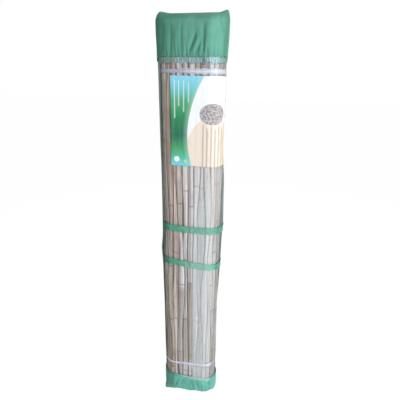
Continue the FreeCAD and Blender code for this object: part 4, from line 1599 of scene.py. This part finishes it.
@dataclass
class FootCap:
    """Green cloth cap under the roll, gathered, with a rim that swells a little in front.

    Attributes:
        height: Height of its rim.
        left_rise: How much higher the rim is at the left end.
        middle_rise: How much higher it is right of the middle.
        lift: How far its lower edge is off the floor at the front right.
        folds: Creases of the front.
    """

    height: float = 0.0845
    left_rise: float = 0.003
    middle_rise: float = 0.003
    lift: float = 0.0040
    thickness: float = 0.0005
    columns: int = 540
    rows: int = 22
    floor_rows: int = 10
    folds: tuple[Fold, ...] = folds(
        (-0.084, 0.010, -0.066, 0.080, 0.0026, -0.0034),
        (-0.070, 0.008, -0.050, 0.078, 0.0034, 0.0024),
        (-0.060, 0.006, -0.034, 0.074, 0.0026, -0.0040),
        (-0.034, 0.006, -0.016, 0.072, 0.0024, -0.0030),
        (-0.018, 0.004, -0.004, 0.070, 0.0030, 0.0020),
        (0.012, 0.004, 0.000, 0.070, 0.0024, -0.0040),
        (0.034, 0.004, 0.008, 0.072, 0.0026, -0.0042),
        (0.044, 0.004, 0.024, 0.070, 0.0030, 0.0024),
        (0.056, 0.006, 0.042, 0.068, 0.0026, -0.0034),
        (0.076, 0.008, 0.066, 0.070, 0.0034, 0.0022),
        (0.100, 0.008, 0.090, 0.072, 0.0030, -0.0030),
    )

    def build(self, finish: bpy.types.Material) -> None:
        """Makes the cap of a material."""
        distance, share = net(0.0, ROLL.girth, self.columns, self.rows, closed=True)
        x = ROLL.frame_at(distance)[0]
        signed = ROLL.signed(distance)
        rim = self.height + np.where(x < 0, self.left_rise, 0.0) * (x / (ROLL.width / 2)) ** 2
        rim = rim + self.middle_rise * bell(signed, 0.050, 0.026)
        lift = self.lift * band(signed, 0.015, 0.045, 0.095, 0.120)
        height = lift + share * (rim - lift)
        creases = creased(self.folds, signed, height)
        behind = creased(self.folds, ROLL.girth / 2 - distance, height)
        pleats = Waves(91, 6, (0.010, 0.022), (0.10, 0.5)).at(distance, height)
        loose = smooth(rim - height, 0.0, 0.012)
        ear = 0.014 * bell(signed, -0.091, 0.012) + 0.004 * bell(signed, -0.074, 0.022)
        ear = ear * (1 - smooth(height, 0.0, 0.040))
        tuck = 0.002 + 0.007 * band(signed, 0.01, 0.05, 0.10, 0.13) - 0.002 * smooth(ear, 0, 0.006)
        out = SEATS.strap + 0.0004 + loose * (creases + behind) + 0.0005 * (1 + pleats) + ear
        out = np.maximum(out, SEATS.strap - 0.0004) - tuck * (1 - smooth(height - lift, 0.0, 0.012)) ** 2
        window = band(signed, -0.100, -0.090, 0.128, 0.140)
        out = out - 0.0010 * (1 - smooth(rim - height, 0.0, 0.008)) * window
        side = ROLL.layer(distance, height, out)
        floor = side[0] * np.linspace(0.02, 1.0, self.floor_rows + 1)[:-1, None, None]
        floor[..., 2] = 0.0
        points = np.concatenate([floor, side])
        rows = stacked(np.linspace(-0.05, -0.004, len(floor))[:, None], height[:, :1])
        # A paler strip below the rim, stronger right of the middle.
        worn = 0.5 * smooth(signed, -0.040, -0.020) + 0.5 * smooth(signed, 0.000, 0.024)
        worn = worn * (1 - smooth(signed, 0.090, 0.104)) * (1 - smooth(rim - height, 0.010, 0.016))
        # Painted shade in the furrows of the creases and over the left side, turned from the light.
        deep = 0.75 * loose * np.clip(-creases / 0.004, 0.0, 1.0)
        deep = deep + 0.95 * (1 - smooth(signed, -0.082, -0.030)) + 0.65 * (1 - smooth(signed, -0.108, -0.096))
        deep = np.clip(deep * smooth(signed, -0.16, -0.13), 0.0, 1.0)
        stitch = 0.6 * bell((1 - share) * rim, 0.008, 0.0012) * (np.mod(distance, 0.005) < 0.0035)
        bare = np.zeros((len(floor), 1))
        masks = {name: stacked(bare, mask) for name, mask in (("stitch", stitch), ("worn", worn), ("deep", deep))}
        piece = grid_piece("foot_cap_cloth", points, closed=True, flat=(distance[:1], rows), masks=masks)
        thicken(piece, self.thickness)
        dress(piece, finish, ("bottom_cap",))


# Stage


@dataclass
class Stage:
    """Pale floor, soft light and the camera.

    Attributes:
        place: Where the camera stands.
        heading: How far it looks to the left of straight ahead, in degrees.
        pitch: How far it looks down, in degrees.
        roll: How far it leans, in degrees.
        lens: Its focal length for a sensor 36 wide.
        lamps: Name, place, side and power in watts of each square soft light.
        aim: What the lamps point at.
        room_light: Strength of the world's light on the object.
        floor_size: Length of the floor's side.
        floor_white: Share of the floor's colour that is plain white where it is seen.
        floor_glow: Strength of that white.
    """

    place: tuple[float, float, float] = (0.2732, -1.1296, 1.3464)
    heading: float = 12.02
    pitch: float = 20.6
    roll: float = 0.93
    lens: float = 29.7
    lamps: tuple[tuple[str, tuple[float, float, float], float, float], ...] = (
        ("key_light", (1.95, -1.6, 1.95), 1.2, 62.0),
        ("fill_light", (0.2, -2.8, 1.2), 1.6, 8.0),
        ("back_light", (-0.5, 2.4, 1.8), 1.6, 16.0),
    )
    aim: tuple[float, float, float] = (0.0, 0.0, 0.75)
    room_light: float = 0.27
    floor_size: float = 40.0
    floor_white: float = 0.94
    floor_glow: float = 1.035

    def build(self) -> None:
        """Makes the floor, the lights, the world and the camera."""
        self.floor()
        self.world()
        for lamp in self.lamps:
            self.lamp(*lamp)
        self.camera()
        bpy.context.scene.view_settings.view_transform = "Standard"

    def camera(self) -> None:
        """Adds the camera."""
        data = bpy.data.cameras.new("camera")
        data.lens = self.lens
        data.sensor_width = 36.0
        camera = bpy.data.objects.new("camera", data)
        stance = Matrix.Translation(self.place)
        for degrees, axis in ((self.heading, "Z"), (90.0 - self.pitch, "X"), (self.roll, "Z")):
            stance = stance @ Matrix.Rotation(math.radians(degrees), 4, axis)
        camera.matrix_world = stance
        bpy.context.scene.collection.objects.link(camera)
        bpy.context.scene.camera = camera

    def lamp(self, name: str, place: tuple[float, float, float], size: float, power: float) -> None:
        """Adds a square soft light that points at the middle of the roll."""
        data = bpy.data.lights.new(name, "AREA")
        data.size = size
        data.energy = power
        lamp = bpy.data.objects.new(name, data)
        lamp.location = place
        lamp.rotation_euler = (Vector(self.aim) - Vector(place)).to_track_quat("-Z", "Y").to_euler()
        bpy.context.scene.collection.objects.link(lamp)

    def seen(self, graph: Graph) -> Value:
        """Socket that is 1 for what is seen directly, mirrored or through glass."""
        path = graph.add("LightPath").outputs
        rays = [Value(graph, path[f"Is {kind} Ray"]) for kind in ("Camera", "Glossy", "Transmission")]
        return graph.math("MINIMUM", rays[0] + rays[1] + rays[2], 1.0)

    def floor(self) -> None:
        """Adds the floor, which is white with a faint shadow."""
        half = self.floor_size / 2
        corners = [[(x, y, 0.0) for x in (-half, half)] for y in (-half, half)]
        piece = grid_piece("floor", np.array(corners))
        paint = Paint("floor_white")
        paint.feed(paint.shader, "Base Color", "#F4F4F4")
        paint.feed(paint.shader, "Roughness", 0.9)
        glow = paint.value("Emission", {"Color": WHITE, "Strength": self.floor_glow})
        share = self.seen(paint) * self.floor_white
        mixed = paint.value("MixShader", {0: share, 1: Value(paint, paint.shader.outputs[0]), 2: glow})
        paint.feed(paint.tree.nodes["Material Output"], "Surface", mixed)
        piece.data.materials.append(paint.material)

    def world(self) -> None:
        """Lights the room evenly and shows it white."""
        world = bpy.data.worlds.new("room")
        bpy.context.scene.world = world
        world.use_nodes = True
        graph = Graph(world.node_tree)
        light = world.node_tree.nodes["Background"]
        graph.feed(light, "Color", WHITE)
        graph.feed(light, "Strength", self.seen(graph).rise(0.0, 1.0, self.room_light, 1.0))


def main() -> None:
    """Builds the roll, its bag and the stage."""
    logging.basicConfig(level=logging.INFO, format="%(message)s")
    back_cloth = ("green_back_cloth", "#6AAC97", "#63A48F", "#A9ADAD", "#3C3A36")
    foot_cloth = ("green_foot_cloth", "#7ACABB", "#6AB9A9", "#C0E9E4", "#477267")
    SlatTurn().build()
    BindingWires().build()
    TieRibbons().build()
    PrintedSheet().build()
    Window().build()
    BackPanel().build(ClothFinish(*back_cloth).material())
    TopCap().build(ClothFinish("green_cloth", "#6AAA98", "#63A290").material())
    SeamGathers().build()
    FootCap().build(ClothFinish(*foot_cloth).material())
    Straps().build()
    Stage().build()


if __name__ == "__main__":
    main()
